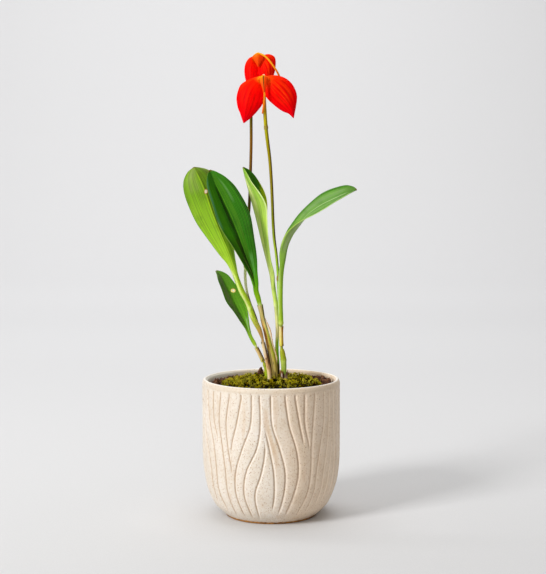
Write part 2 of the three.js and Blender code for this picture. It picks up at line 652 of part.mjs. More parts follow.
// Rows of a stem between two heights, with a row at each of them.
function stemBetween(stem, from, to) {
  const at = (height) => {
    const above = Math.max(1, stem.findIndex((row) => row[2] >= height));
    const [low, high] = [stem[above - 1], stem[above]];
    const t = (height - low[2]) / (high[2] - low[2]);
    return low.map((value, c) => value + (high[c] - value) * t);
  };
  const inside = stem.filter((row) => row[2] > from + 1 && row[2] < to - 1);
  return [at(from), ...inside, at(to)];
}

const sheathInside = (row) => (row[3] * 1.04 + CLEARANCE) / Math.cos(Math.PI / SHEATH_SIDES);

function sheath({ leaf: owner, from, to }) {
  const rows = stemBetween(LEAVES[owner].stem, from, to);
  const outside = ringsAlong(rows, SHEATH_SIDES, (row) => sheathInside(row) + SHEATH_WALL);
  const inside = ringsAlong(rows, SHEATH_SIDES, sheathInside);
  return loftShell([...outside, ...inside.reverse()]);
}

for (const shape of SHEATHS) {
  addPiece(shape.name, 'papery', sheath(shape));
}

// ---- Scapes and ovaries ----------------------------------------------------------------------

// The flower stems [x, y, z, radius], each from beside its leaf's stem up to its flower's ovary.
const STALK_SIDES = 6;
const SCAPES = {
  scape_front: [
    [7.5, 3.9, 167, 1.3], [7, 4, 181.5, 1.3], [6.5, 3.9, 195.5, 1.2], [5.7, 3.4, 212, 1.2],
    [4.5, 2, 225.5, 1.2], [2.6, 0, 240.5, 1.3], [1.6, -1, 256, 1.3], [1, -2, 272.5, 1.3], [0.1, -3, 291, 1.3],
    [-1.2, -4, 308.5, 1.3], [-2.9, -4.6, 322, 1.3], [-4.4, -5, 335, 1.3], [-5.4, -5.6, 349.5, 1.3],
    [-5.9, -5.6, 360, 1.3], [-6, -4.4, 366.5, 1.3], [-6, -3.2, 370.5, 1.3],
  ],
  scape_back: [
    [-9.3, 1, 158, 1], [-11.2, 1.4, 164, 1.1], [-13, 1.3, 170.5, 1.1], [-15.6, 1.6, 177.5, 1.1],
    [-18.4, 3, 184.5, 1.1], [-20.6, 5, 192, 1.1], [-22.3, 7, 202, 1.2], [-22.5, 9, 213.5, 1.2],
    [-21.4, 12, 234, 1.2], [-19.6, 15, 260, 1.3], [-18.5, 17, 280, 1.3], [-17.9, 18, 300, 1.3],
    [-17.4, 18.3, 322, 1.3], [-17.4, 18.6, 344, 1.3], [-17.3, 19, 363.5, 1.3], [-16.2, 19.5, 381, 1.3],
    [-14.7, 20, 390.5, 1.3],
  ],
};

for (const [name, rows] of Object.entries(SCAPES)) {
  addPiece(name, 'scape', loft(ringsAlong(rows, STALK_SIDES)));
}

// ---- Flowers ---------------------------------------------------------------------------------

// A flower: the ovary's path, the sepal tube from its base to its mouth, the two lateral sepals as
// rows of [outer margin, middle, inner margin] down to their tips, and the dorsal sepal with its tail.
const TUBE_SIDES = 12;
const TUBE_BASE_RADIUS = 2.1;
const TUBE_MOUTH_RADIUS = 4.3;
const TUBE_WALL = 0.8;
const FLOWERS = {
  front: {
    ovary: [
      [-6, -3, 371.1, 1.2], [-6.1, -2.1, 374.5, 1.4], [-6.2, -2.4, 377, 1.4], [-6.3, -3.6, 378.6, 1.3],
      [-6.35, -4.9, 378.7, 1.3], [-6.4, -5.9, 377.9, 1.3],
    ],
    tube: [[-6.4, -6.2, 377.6], [-6.7, -11.4, 373.6]],
    lateralSepals: [
      {
        rows: [
          [[-9, -9.8, 378.2], [-10, -11, 374.4], [-5.6, -9.4, 370.6]],
          [[-17.8, -10.4, 375.6], [-13, -12.8, 371.6], [-5.4, -11.4, 367.8]],
          [[-25.3, -10, 371.3], [-16.3, -14.5, 366.5], [-5.3, -12.9, 363.8]],
          [[-28.2, -10, 365.5], [-18.3, -15, 361], [-6, -13.2, 359.3]],
          [[-29.2, -10, 359], [-20, -15.3, 355.3], [-7.6, -12.8, 354]],
          [[-28.2, -10.5, 351.5], [-21.2, -14.8, 349.3], [-11.8, -12.4, 348.3]],
          [[-26, -11.4, 346], [-22.2, -13.8, 344.3], [-17.2, -12, 343]],
        ],
        tip: [-23.2, -11.5, 338.6],
      },
      {
        rows: [
          [[-4.2, -9.6, 378], [-2.6, -11, 374.4], [-6.1, -9.4, 370.6]],
          [[2.6, -9.8, 379], [0.6, -12.8, 372.3], [-5.9, -11.4, 366.8]],
          [[8.8, -9.6, 377.8], [4.5, -14.3, 368.4], [-5, -12.9, 361.8]],
          [[14.5, -9.5, 374.7], [8.4, -14.9, 364], [-1.2, -13.2, 356.8]],
          [[19, -9.6, 369.8], [12.6, -15.3, 359], [5.4, -12.9, 351.3]],
          [[21.7, -10, 362.5], [15.8, -14.8, 354], [10.5, -12.4, 348.2]],
          [[21.2, -11, 354], [17.8, -13.8, 349.3], [14.8, -12, 346.3]],
        ],
        tip: [19, -11.6, 342.8],
      },
    ],
    dorsalSepal: [
      [[-10.2, -13.4, 376.6], [-6.6, -14.6, 377.9], [-2.8, -13.4, 376.8]],
      [[-9.4, -15.8, 373.2], [-6.5, -16.8, 373.6], [-3.5, -15.8, 373.2]],
      [[-7.9, -17.2, 369], [-6.1, -17.8, 369], [-4.3, -17.2, 369]],
      [[-6.9, -17.6, 365], [-5.7, -18, 365], [-4.6, -17.6, 365]],
      [[-6.2, -17.5, 361.5], [-5.5, -17.7, 361.5], [-4.9, -17.5, 361.5]],
    ],
    tail: [
      [-5.6, -17.8, 364, 0.5], [-5.5, -17.5, 360, 0.6], [-5.9, -17, 355.5, 0.6], [-6.5, -16.2, 351, 0.55],
      [-7.5, -15.6, 346.8, 0.45],
    ],
  },
  back: {
    ovary: [
      [-14.4, 20.1, 391.2, 1.2], [-13.4, 20.3, 394.6, 1.4], [-12.5, 19.4, 397.6, 1.4], [-12, 18, 398.9, 1.3],
      [-11.7, 16.6, 398.9, 1.3], [-11.5, 15.7, 398.2, 1.3],
    ],
    tube: [[-11.4, 15.4, 397.9], [-11.1, 10.2, 393.8]],
    lateralSepals: [
      {
        rows: [
          [[-14.6, 9.2, 396.6], [-15.3, 10.4, 394], [-10.8, 12, 391.2]],
          [[-19.3, 10.5, 394.2], [-16.6, 8.6, 389.4], [-10.7, 9.6, 386.2]],
          [[-22.5, 11.4, 389], [-17.4, 6.8, 383], [-10.4, 7.4, 379.8]],
          [[-22.8, 12, 381.5], [-17.6, 6.3, 376.8], [-10.8, 7.2, 373.6]],
          [[-21.5, 12, 373.5], [-17.7, 7.2, 370], [-12.8, 8.2, 367.4]],
        ],
        tip: [-18, 9.4, 361],
      },
      {
        rows: [
          [[-7.6, 9.2, 396.8], [-6.9, 10.4, 394], [-11.3, 12, 391.2]],
          [[-2, 9.8, 398], [-5.6, 8.4, 390.6], [-11.3, 9.6, 386.2]],
          [[3.2, 11, 395], [-3.4, 6.8, 385], [-11, 7.4, 379.8]],
          [[3.8, 12, 386.5], [-2.8, 6.3, 377.6], [-9.6, 7.2, 373.6]],
          [[1.2, 12, 377.6], [-3.4, 7.2, 370.6], [-7.9, 8.2, 367.4]],
        ],
        tip: [-4, 9.4, 361.6],
      },
    ],
    dorsalSepal: [
      [[-14.6, 7.8, 397.2], [-11.2, 6.4, 399], [-7.6, 7.8, 397.4]],
      [[-16.2, 8, 395.2], [-11.2, 5.8, 395.2], [-6.2, 7.8, 394.6]],
      [[-13.8, 7.4, 391.2], [-11.1, 6.2, 391], [-8.4, 7.4, 391]],
      [[-11.6, 7.5, 387.3], [-11, 7.1, 386.9], [-10.4, 7.5, 387.2]],
    ],
    tail: [
      [-10.8, 6.3, 398.4, 0.6], [-7.4, 3.8, 397, 0.6], [-3.2, 2.8, 393.8, 0.6], [1.4, 1.4, 388, 0.6],
      [5, 0.6, 382.5, 0.55], [6.9, 0.6, 378.4, 0.5], [8.2, 1.4, 373, 0.4],
    ],
  },
};

// The sepal tube: a cup with a round rim, open at its mouth.
function sepalTube([base, mouth]) {
  const start = point(base);
  const axis = point(mouth).sub(start);
  const level = (t, radius) => [...start.clone().addScaledVector(axis, t).toArray(), radius];
  const outside = [level(0, TUBE_BASE_RADIUS), level(0.5, 3.5), level(1, TUBE_MOUTH_RADIUS)];
  const inside = [level(1, TUBE_MOUTH_RADIUS - TUBE_WALL), level(0.5, 3.5 - TUBE_WALL), level(0.14, 1.3)];
  const rings = (rows) => ringsAlong([level(-0.5, 1), ...rows, level(1.5, 1)], TUBE_SIDES).slice(1, -1);
  return loft([...rings(outside), ...rings([...inside].reverse()).reverse()]);
}

const withThickness = (rows) => rows.map((row) => [...row, SEPAL_HALF, MARGIN_HALF]);

function sepal(rows, tip) {
  const full = [...rows.map((row) => row.flat()), tipRow(tip, rows.at(-1), 1.2)];
  return bladeSkin(withThickness(refine(full, 2)));
}

// The column in the mouth of the tube, with the lip below it and a small petal on each side.
function column([base, mouth]) {
  const start = point(base);
  const axis = point(mouth).sub(start);
  const down = new THREE.Vector3(0, 0, -1).addScaledVector(axis, axis.z / axis.lengthSq()).normalize();
  const side = axis.clone().cross(down).normalize();
  const place = (t, sideways, lower) => start.clone()
    .addScaledVector(axis, t).addScaledVector(side, sideways).addScaledVector(down, lower).toArray();
  const club = [[0.2, 0.7], [0.5, 0.8], [0.8, 1], [0.98, 0.7]];
  const organ = (path, rows) => loft(
    ringsAlong(rows.map(([t, radius]) => [...path(t), radius]), STALK_SIDES),
  );
  return joined([
    organ((t) => place(t, 0, -0.3), club),
    organ((t) => place(t, 1.5 * t, 0.3), [[0.24, 0.5], [0.6, 0.6], [0.92, 0.35]]),
    organ((t) => place(t, -1.5 * t, 0.3), [[0.24, 0.5], [0.6, 0.6], [0.92, 0.35]]),
    organ((t) => place(t, 0, 1.6 * t), [[0.26, 0.5], [0.6, 0.7], [0.96, 0.5]]),
  ]);
}

for (const [place, shape] of Object.entries(FLOWERS)) {
  addPiece(`ovary_${place}`, 'pale', loft(ringsAlong(shape.ovary, STALK_SIDES)));
  addPiece(`sepals_${place}`, 'scarlet', joined([
    sepalTube(shape.tube),
    ...shape.lateralSepals.map(({ rows, tip }) => sepal(rows, tip)),
  ]));
  addPiece(`dorsal_sepal_${place}`, 'orange', joined([
    bladeSkin(withThickness(refine(shape.dorsalSepal.map((row) => row.flat()), 2))),
    loft(ringsAlong(shape.tail, STALK_SIDES)),
  ]));
  addPiece(`column_${place}`, 'pale', column(shape.tube));
}

// ---- Moss ------------------------------------------------------------------------------------

const MOSS_SECTORS = 40;
const MOSS_RINGS = [0.13, 0.26, 0.38, 0.49, 0.6, 0.7, 0.79, 0.87, 0.94, 1];
const MOSS_BUMP = 1.7;
const HOLE_GAP = 0.35;

const mossEdge = (angle) => MOSS_RADIUS + 0.9 * Math.sin(3 * angle + 0.6) + 0.6 * Math.sin(7 * angle);

// Height of the tufted moss at a share of its radius, for ring j and sector i.
function mossHeight(share, i, j) {
  const dome = MOSS_BASE + 0.8 + (MOSS_CREST - MOSS_BASE - 0.8) * (1 - share ** 7);
  return dome + MOSS_BUMP * (scatter(i, j + 40) - 0.5) * (share < 1 ? 1 : 0);
}

function mossBody() {
  const ring = (share, heightAt) => Array.from({ length: MOSS_SECTORS }, (_, i) => {
    const angle = (2 * Math.PI * i) / MOSS_SECTORS;
    const radius = share * mossEdge(angle);
    return new THREE.Vector3(radius * Math.cos(angle), radius * Math.sin(angle), heightAt(i));
  });
  const tufts = MOSS_RINGS.map((share, j) => ring(share, (i) => mossHeight(share, i, j)));
  return loft([ring(0.98, () => MOSS_BASE), ...tufts.reverse()]);
}

// The plain hole that a stem stands in: wide enough for the stem and any sheath round it.
function stemHole(name) {
  const [foot, collar] = LEAVES[name].stem;
  const wrapped = SHEATHS.some((shape) => shape.leaf === name && shape.from < MOSS_CREST);
  const radius = HOLE_GAP + (wrapped ? sheathInside(collar) + SHEATH_WALL : collar[3] * 1.04);
  const far = point(collar).lerp(point(foot), -0.1).toArray();
  return loft(ringsAlong([[...foot.slice(0, 3), radius / 0.92], [...far, radius / 0.92]], 8));
}

addPiece('moss', 'moss', cut(mossBody(), Object.keys(LEAVES).map(stemHole)));

// ---- Bark chip -------------------------------------------------------------------------------

// One chip of bark lies loose on the moss beside the stems.
const CHIP_PLACE = [-9.2, 9.4, 121.7];
const CHIP_SIZE = [4.6, 3, 5.2];
addPiece('bark_chip', 'bark', barkChip(CHIP_PLACE, 35, CHIP_SIZE, 8));

export default plant;
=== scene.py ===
"""A masdevallia orchid in its carved stoneware pot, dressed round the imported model.

Lists of points are in millimetres, in the model's own frame: +Z up, and the plant's front faces -Y.
"""
import math

import bpy
import numpy as np
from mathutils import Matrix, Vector


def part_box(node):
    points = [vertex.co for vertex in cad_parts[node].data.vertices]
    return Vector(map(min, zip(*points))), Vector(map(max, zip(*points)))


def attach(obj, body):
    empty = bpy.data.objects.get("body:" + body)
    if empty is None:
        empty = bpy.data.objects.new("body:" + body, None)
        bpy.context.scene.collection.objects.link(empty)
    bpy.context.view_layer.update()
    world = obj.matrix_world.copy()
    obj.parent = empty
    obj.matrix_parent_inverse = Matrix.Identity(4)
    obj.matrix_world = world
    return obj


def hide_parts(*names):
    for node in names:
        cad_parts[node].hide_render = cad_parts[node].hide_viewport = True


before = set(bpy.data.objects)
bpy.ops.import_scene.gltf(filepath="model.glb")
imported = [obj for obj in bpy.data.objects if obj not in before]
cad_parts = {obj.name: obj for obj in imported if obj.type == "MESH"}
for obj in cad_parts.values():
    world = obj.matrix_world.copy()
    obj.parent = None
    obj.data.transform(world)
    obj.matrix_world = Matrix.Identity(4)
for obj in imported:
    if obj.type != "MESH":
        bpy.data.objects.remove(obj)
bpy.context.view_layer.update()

# ---- Pot -----------------------------------------------------------------------------------------
# One stoneware pot, thrown on the wheel and then carved with long flowing lines while the clay was
# firm. A cream glaze with iron specks covers it down to the small foot, which was wiped bare.
MM = 0.001


def rounded(rows, steps):
    """Rows of numbers made finer, on a smooth curve through every row."""
    rows = np.asarray(rows, float)
    ends = np.vstack([rows[:1], rows, rows[-1:]])
    before, here, after, beyond = (ends[k:len(ends) - 3 + k, None] for k in range(4))
    t = (np.arange(steps) / steps)[None, :, None]
    square = 2 * before - 5 * here + 4 * after - beyond
    cube = 3 * here - before - 3 * after + beyond
    fine = 0.5 * (2 * here + (after - before) * t + square * t**2 + cube * t**3)
    return np.vstack([fine.reshape(-1, rows.shape[1]), rows[-1:]])


def quads(rows, columns, ring=False):
    """The faces of a sheet of points, rows by columns, or of a ring of columns."""
    j, i = np.mgrid[0:rows - 1, 0:columns if ring else columns - 1]
    after = (i + 1) % columns
    here, above = j * columns, (j + 1) * columns
    return np.stack([here + i, here + after, above + after, above + i], -1).reshape(-1, 4).tolist()


def shell(points, faces, lie, kind=0.0):
    """A closed shell, faces out. lie says where its points lie on a piece, and kind its sort."""
    points = np.asarray(points, float).reshape(-1, 3)
    fans = np.array([(f[0], f[k], f[k + 1]) for f in faces for k in range(1, len(f) - 1)])
    a, b, c = (points[fans[:, k]] for k in range(3))
    if np.einsum("ij,ij->", a, np.cross(b, c)) < 0:
        faces = [face[::-1] for face in faces]
    lie = np.asarray(lie, float).reshape(-1, 3)
    return {"points": points, "faces": faces, "lie": lie, "kind": np.full(len(points), kind)}


def lofted(rings, lie, kind=0.0):
    """A shell through rings of points, with a fan across each end."""
    count, sides = rings.shape[:2]
    points = np.vstack([rings.reshape(-1, 3), rings[0].mean(0), rings[-1].mean(0)])
    lies = np.vstack([lie.reshape(-1, 3), lie[0].mean(0), lie[-1].mean(0)])
    faces = quads(count, sides, ring=True)
    low, high, last = count * sides, count * sides + 1, (count - 1) * sides
    for i in range(sides):
        after = (i + 1) % sides
        faces += [[low, after, i], [high, last + i, last + after]]
    return shell(points, faces, lies, kind)


def make_piece(name, shells, material, stands_for=(), sharp_degrees=None):
    """One visible piece from its shells, fixed to the part's only body."""
    points = np.vstack([s["points"] for s in shells])
    faces, start = [], 0
    for s in shells:
        faces += [[start + corner for corner in face] for face in s["faces"]]
        start += len(s["points"])
    mesh = bpy.data.meshes.new(name)
    mesh.from_pydata((points * MM).tolist(), [], faces)
    mesh.polygons.foreach_set("use_smooth", [True] * len(mesh.polygons))
    if sharp_degrees:
        mesh.set_sharp_from_angle(angle=math.radians(sharp_degrees))
    lie = mesh.attributes.new("lie", "FLOAT_VECTOR", "POINT")
    lie.data.foreach_set("vector", np.vstack([s["lie"] for s in shells]).ravel())
    kind = mesh.attributes.new("kind", "FLOAT", "POINT")
    kind.data.foreach_set("value", np.concatenate([s["kind"] for s in shells]))
    mesh.materials.append(material)
    piece = bpy.data.objects.new(name, mesh)
    bpy.context.scene.collection.objects.link(piece)
    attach(piece, "root")
    if stands_for:
        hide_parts(*stands_for)


def tint(code):
    """A colour from its screen code, as the shader takes it."""
    shares = [int(code[k:k + 2], 16) / 255 for k in (0, 2, 4)]
    return *(v / 12.92 if v <= 0.04045 else ((v + 0.055) / 1.055) ** 2.4 for v in shares), 1.0


def finish(name, **sockets):
    """A material, its node tree and its shader, on which what is the same all over is set."""
    material = bpy.data.materials.new(name)
    material.use_nodes = True
    shader = material.node_tree.nodes["Principled BSDF"]
    for socket, value in sockets.items():
        shader.inputs[socket.replace("_", " ")].default_value = value
    return material, material.node_tree, shader


def add(tree, kind, wires, **settings):
    """One node. wires gives each input its value, or the output that feeds it."""
    node = tree.nodes.new("ShaderNode" + kind)
    for setting, value in settings.items():
        setattr(node, setting, value)
    for socket, value in wires.items():
        if isinstance(value, bpy.types.NodeSocket):
            tree.links.new(value, node.inputs[socket])
        else:
            node.inputs[socket].default_value = value
    return node


def calc(tree, operation, a, b=0.0):
    """One step of arithmetic on one or two values."""
    return add(tree, "Math", {0: a, 1: b}, operation=operation).outputs[0]


def times(tree, value, *others):
    """Values multiplied by one another."""
    for other in others:
        value = calc(tree, "MULTIPLY", value, other)
    return value


def parts_of(tree, vector):
    """The three parts of a vector."""
    return tuple(add(tree, "SeparateXYZ", {0: vector}).outputs)


def level(tree, value, low, high, to_low=0.0, to_high=1.0):
    """A value read between two levels, smoothly, and given between two others."""
    wires = {"Value": value, "From Min": low, "From Max": high, "To Min": to_low, "To Max": to_high}
    return add(tree, "MapRange", wires, interpolation_type="SMOOTHSTEP").outputs[0]


def scaled(tree, vector, factors):
    """A vector stretched by three factors."""
    return add(tree, "VectorMath", {0: vector, 1: factors}, operation="MULTIPLY").outputs[0]


def grain(tree, vector, scale, detail=2.0):
    """Cloudy variation from 0 to 1."""
    wires = {"Vector": vector, "Scale": scale, "Detail": detail}
    return add(tree, "TexNoise", wires).outputs[0]


def blend(tree, share, under, over, how="MIX"):
    """A colour laid over another by a share."""
    over = tint(over) if isinstance(over, str) else over
    node = add(tree, "Mix", {0: share, 6: under, 7: over}, data_type="RGBA", blend_type=how)
    return node.outputs[2]


def ramp(tree, value, stops):
    """A colour that changes through [level, colour] stops."""
    node = add(tree, "ValToRGB", {0: value})
    elements = node.color_ramp.elements
    while len(elements) < len(stops):
        elements.new(0.5)
    for element, (position, code) in zip(elements, stops):
        element.position = position
        element.color = tint(code)
    return node.outputs[0]


def place_mm(tree):
    """Where the surface is, in millimetres."""
    return scaled(tree, add(tree, "TexCoord", {}).outputs["Object"], (1000, 1000, 1000))


def lie_of(tree):
    """The three parts of a piece's lie, and the lie itself."""
    lie = add(tree, "Attribute", {}, attribute_name="lie").outputs["Vector"]
    return *parts_of(tree, lie), lie


def spots(tree, vector, scale, outer, inner, most=1.0, rare=None, part=0):
    """Round spots at scattered points. rare keeps only those whose own value is over its levels."""
    cells = add(tree, "TexVoronoi", {"Vector": vector, "Scale": scale})
    near = level(tree, cells.outputs["Distance"], outer, inner, 0, most)
    if rare is None:
        return near
    return times(tree, near, level(tree, parts_of(tree, cells.outputs["Color"])[part], *rare))


def dress(tree, shader, colour, roughness=None, height=None, distance=0.1):
    """Joins a finish to its shader: colour, roughness and a relief of some millimetres."""
    tree.links.new(colour, shader.inputs["Base Color"])
    if roughness is not None:
        tree.links.new(roughness, shader.inputs["Roughness"])
    if height is not None:
        bump = add(tree, "Bump", {"Height": height, "Distance": distance * MM, "Strength": 1.0})
        tree.links.new(bump.outputs[0], shader.inputs["Normal"])


# Each size of iron speck: cells to a millimetre, its radius in cells, and its colour.
IRON_SPECKS = [(0.6, 0.27, "9e6428"), (1.0, 0.36, "b0824c"), (0.24, 0.12, "7a4c24")]


def stoneware():
    """Cream glaze, cloudy and specked, with painted shade and highlight in the carving, and bare clay
    at the foot.
    """
    material, tree, shader = finish("cream_stoneware", IOR=1.45, Specular_IOR_Level=0.3)
    carved, hollow, wall_side, _ = lie_of(tree)
    place = place_mm(tree)
    across, depth, height = parts_of(tree, place)
    cloudy = grain(tree, place, 0.05, 3)
    colour = ramp(tree, cloudy, [(0.3, "e5dacc"), (0.5, "ebe1d4"), (0.72, "efe6dc")])
    mottle = level(tree, grain(tree, place, 0.5, 4), 0.35, 0.75)
    colour = blend(tree, times(tree, mottle, 0.35), colour, "d8c4a4")
    for scale, size, code in IRON_SPECKS:
        specks = spots(tree, place, scale, size, size / 2, rare=(0.5, 0.7, 0.0, 0.8))
        colour = blend(tree, specks, colour, code)
    blush = grain(tree, scaled(tree, place, (0.16, 0.16, 0.03)), 1.0, 4)
    colour = blend(tree, level(tree, blush, 0.55, 0.75, 0.0, 0.3), colour, "cda777")
    # Painted shade in the broad hollow and on the carved lines' steep left walls, and a painted
    # highlight on their sloping right walls.
    colour = blend(tree, level(tree, hollow, 0.05, 0.45, 0.0, 0.4), colour, "c8a06c")
    steep_wall_shade = times(tree, level(tree, carved, 0.15, 0.8), level(tree, wall_side, 0.5, -0.1), 0.55)
    colour = blend(tree, steep_wall_shade, colour, "b08a5e")
    sloping_wall_highlight = times(tree, level(tree, carved, 0.02, 0.3), level(tree, wall_side, 0.3, 0.6), 0.7)
    colour = blend(tree, sloping_wall_highlight, colour, "fbf4ea")

    # Painted shade darkens the inner wall towards the back, and painted light brightens its left
    # side, which the lip shades.
    flat = scaled(tree, place, (1, 1, 0))
    radius = add(tree, "VectorMath", {0: flat}, operation="LENGTH").outputs["Value"]
    inner_wall = times(tree, level(tree, radius, 56.6, 55.2), level(tree, height, 95, 100))
    shaded = times(tree, inner_wall, level(tree, depth, 5, 40, 0.0, 0.7))
    colour = blend(tree, shaded, colour, "ccbca4")
    # Painted light on the left inner wall.
    thick = times(tree, inner_wall, level(tree, across, -25, -45))
    colour = blend(tree, thick, colour, "fffaf0")
    # Painted warm shade on the right side, painted shade over the front of the lip, and a painted
    # highlight along the lip's top.
    colour = blend(tree, level(tree, across, -5, 25), colour, "fff4e8", "MULTIPLY")
    front_lip_shade = times(tree, level(tree, height, 113.5, 115.5), level(tree, height, 118.6, 117.6))
    front_lip_shade = times(tree, front_lip_shade, level(tree, depth, 0, -50, 0.0, 0.5))
    colour = blend(tree, front_lip_shade, colour, "d2bfa6")
    colour = blend(tree, level(tree, height, 118.5, 118.8, 0, 0.8), colour, "fffaf2")

    # The glaze was wiped off the foot, up to an uneven edge.
    wiped = calc(tree, "ADD", height, times(tree, grain(tree, place, 0.35), 1.4))
    clay = ramp(tree, grain(tree, place, 0.5, 4), [(0.35, "6f4718"), (0.65, "b9803c")])
    colour = blend(tree, level(tree, wiped, 2.7, 2.0), colour, clay)
    skin = calc(tree, "ADD", grain(tree, place, 1.3, 5), times(tree, grain(tree, place, 0.25), 2))
    rough = level(tree, grain(tree, place, 0.4, 3), 0.3, 0.7, 0.36, 0.52)
    dress(tree, shader, colour, rough, skin, 0.12)
    return material


POT_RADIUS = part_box("pot")[1].x / MM
POT_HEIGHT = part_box("pot")[1].z / MM
WALL_TOP = 115.6
# The pot's outline as [height, radius]: its carved wall, its lip and inside, and its foot.
WALL_PROFILE = [
    (1.6, 39.7), (2.4, 41), (4, 43), (7.6, 46.9), (11, 49.9), (18, 53.4), (25, 56), (32, 57.8),
    (43, 59.3), (56, POT_RADIUS), (70, POT_RADIUS), (90, POT_RADIUS), (108, POT_RADIUS),
    (WALL_TOP, 59.9),
]
LIP_PROFILE = [
    (WALL_TOP, 59.9), (117.9, 59.2), (POT_HEIGHT, 57.6), (118, 55.8), (WALL_TOP, 55), (104, 55),
    (60, 55), (34, 53), (18, 48.6), (10.5, 43), (8, 38),
]
FOOT_PROFILE = [(0, 20), (0, 39), (0.25, 39.5), (0.7, 39.7), (1.2, 39.7)]
WALL_ROWS = 112
CARVED_FROM = 3.2
# A carved line has a steep wall on its left and a wider sloping one on its right. Columns of points
# stand beside it, and the clay round it, its shoulder, is pressed in a little.
GROOVE_DEPTH = 1.05
GROOVE_STEEP = 0.95
GROOVE_SLOPE = 2.1
GROOVE_COLUMNS = [-1.6, -0.95, -0.6, -0.25, 0.1, 0.6, 1.2, 2.1, 3.0]
GROOVE_TOP = 114
# The share of the room to the next line that a line's columns may take, on its right and its left.
ROOM_RIGHT = 0.58
ROOM_LEFT = 0.34
SHOULDER_HALF = 3.2
SHOULDER_DEPTH = 0.28
# Each carved line on the front: its angle from the front in degrees at each of these heights, and
# the heights between which it is open. Lines that run together are carved into one another.
LINE_HEIGHTS = [110, 88, 68, 48, 28, 8]
FRONT_LINES = [
    ([-76, -72.5, -66.8, -60.5, -60.6, -62], 14, GROOVE_TOP),
    ([-66, -62, -55.5, -52, -52.5, -49], 8, GROOVE_TOP),
    ([-56, -54.8, -47.3, -45, -46, -44], 72, GROOVE_TOP),
    ([-46, -48, -44.2, -41, -41, -39], 5, GROOVE_TOP),
    ([-36.5, -40, -38, -34.4, -36, -34], 44, GROOVE_TOP),
    ([-25, -29.5, -34.2, -32.4, -34, -31.6], 62, GROOVE_TOP),
    ([-16, -17, -24, -30.2, -31.9, -28.5], 5, GROOVE_TOP),
    ([-9.5, -8.8, -12, -20.8, -23.8, -20], 5, GROOVE_TOP), ([-7, -6.9, -5, -8, -14, -12.5], 5, 75),
    ([-4, -5.2, -1.4, 2.1, 2.5, 0], 14, 85), ([-0.5, 0.8, 7, 11.4, 10.5, 6], 10, GROOVE_TOP),
    ([11.3, 14.5, 20.4, 22.7, 19.3, 13.5], 8, GROOVE_TOP),
    ([19.6, 23.5, 27.4, 27.6, 25, 19], 70, GROOVE_TOP),
    ([28, 28.2, 32.1, 31, 29, 22.5], 66, GROOVE_TOP),
    ([38, 36, 34.5, 34.3, 32.3, 25.5], 8, GROOVE_TOP),
    ([48.5, 48, 44, 40.5, 39.3, 34.5], 10, GROOVE_TOP),
    ([55, 55, 52.4, 48.7, 47.3, 44], 14, GROOVE_TOP), ([58.7, 58.9, 59, 56.3, 54.7, 52], 18, 72),
    ([62.2, 63, 64, 64.3, 63.7, 60], 20, GROOVE_TOP),
    ([71.5, 72.7, 73.8, 75, 72.7, 69], 20, GROOVE_TOP),
]
# Plain lines on the sides: the angle at the top and at the bottom, and the heights it lies between.
RIGHT_LINES = [
    (81.5, 80, 16, GROOVE_TOP), (91, 91, 10, GROOVE_TOP), (101, 103, 13, GROOVE_TOP),
    (111, 115, 16, GROOVE_TOP), (118.5, 126, 10, 72),
]
LEFT_LINES = [
    (239.5, 234, 18, 72), (246, 245, 13, GROOVE_TOP), (254.5, 256, 16, GROOVE_TOP),
    (263, 267, 10, GROOVE_TOP), (271, 278, 13, GROOVE_TOP), (279, 289, 16, GROOVE_TOP),
]
# A broad shallow hollow in the middle of the front: its angle at some heights, how it fades towards
# its ends, its half width and its depth.
HOLLOW_HEIGHTS = [40, 52, 64, 76, 88, 106]
HOLLOW_ANGLES = [7.5, 6.2, 3.2, -0.6, -3.6, -4.6]
HOLLOW_FADE = [40, 60, 85, 100, 107], [0, 0.6, 1, 0.7, 0]
HOLLOW_HALF = 2.6
HOLLOW_DEPTH = 0.55


def side_line(line, index):
    """A side line sways gently on its way down."""
    top, bottom, low, high = line
    heights = np.array(LINE_HEIGHTS)
    angles = bottom + (top - bottom) * heights / GROOVE_TOP + 1.2 * np.sin(heights / 17 + index)
    return angles.tolist(), low, high


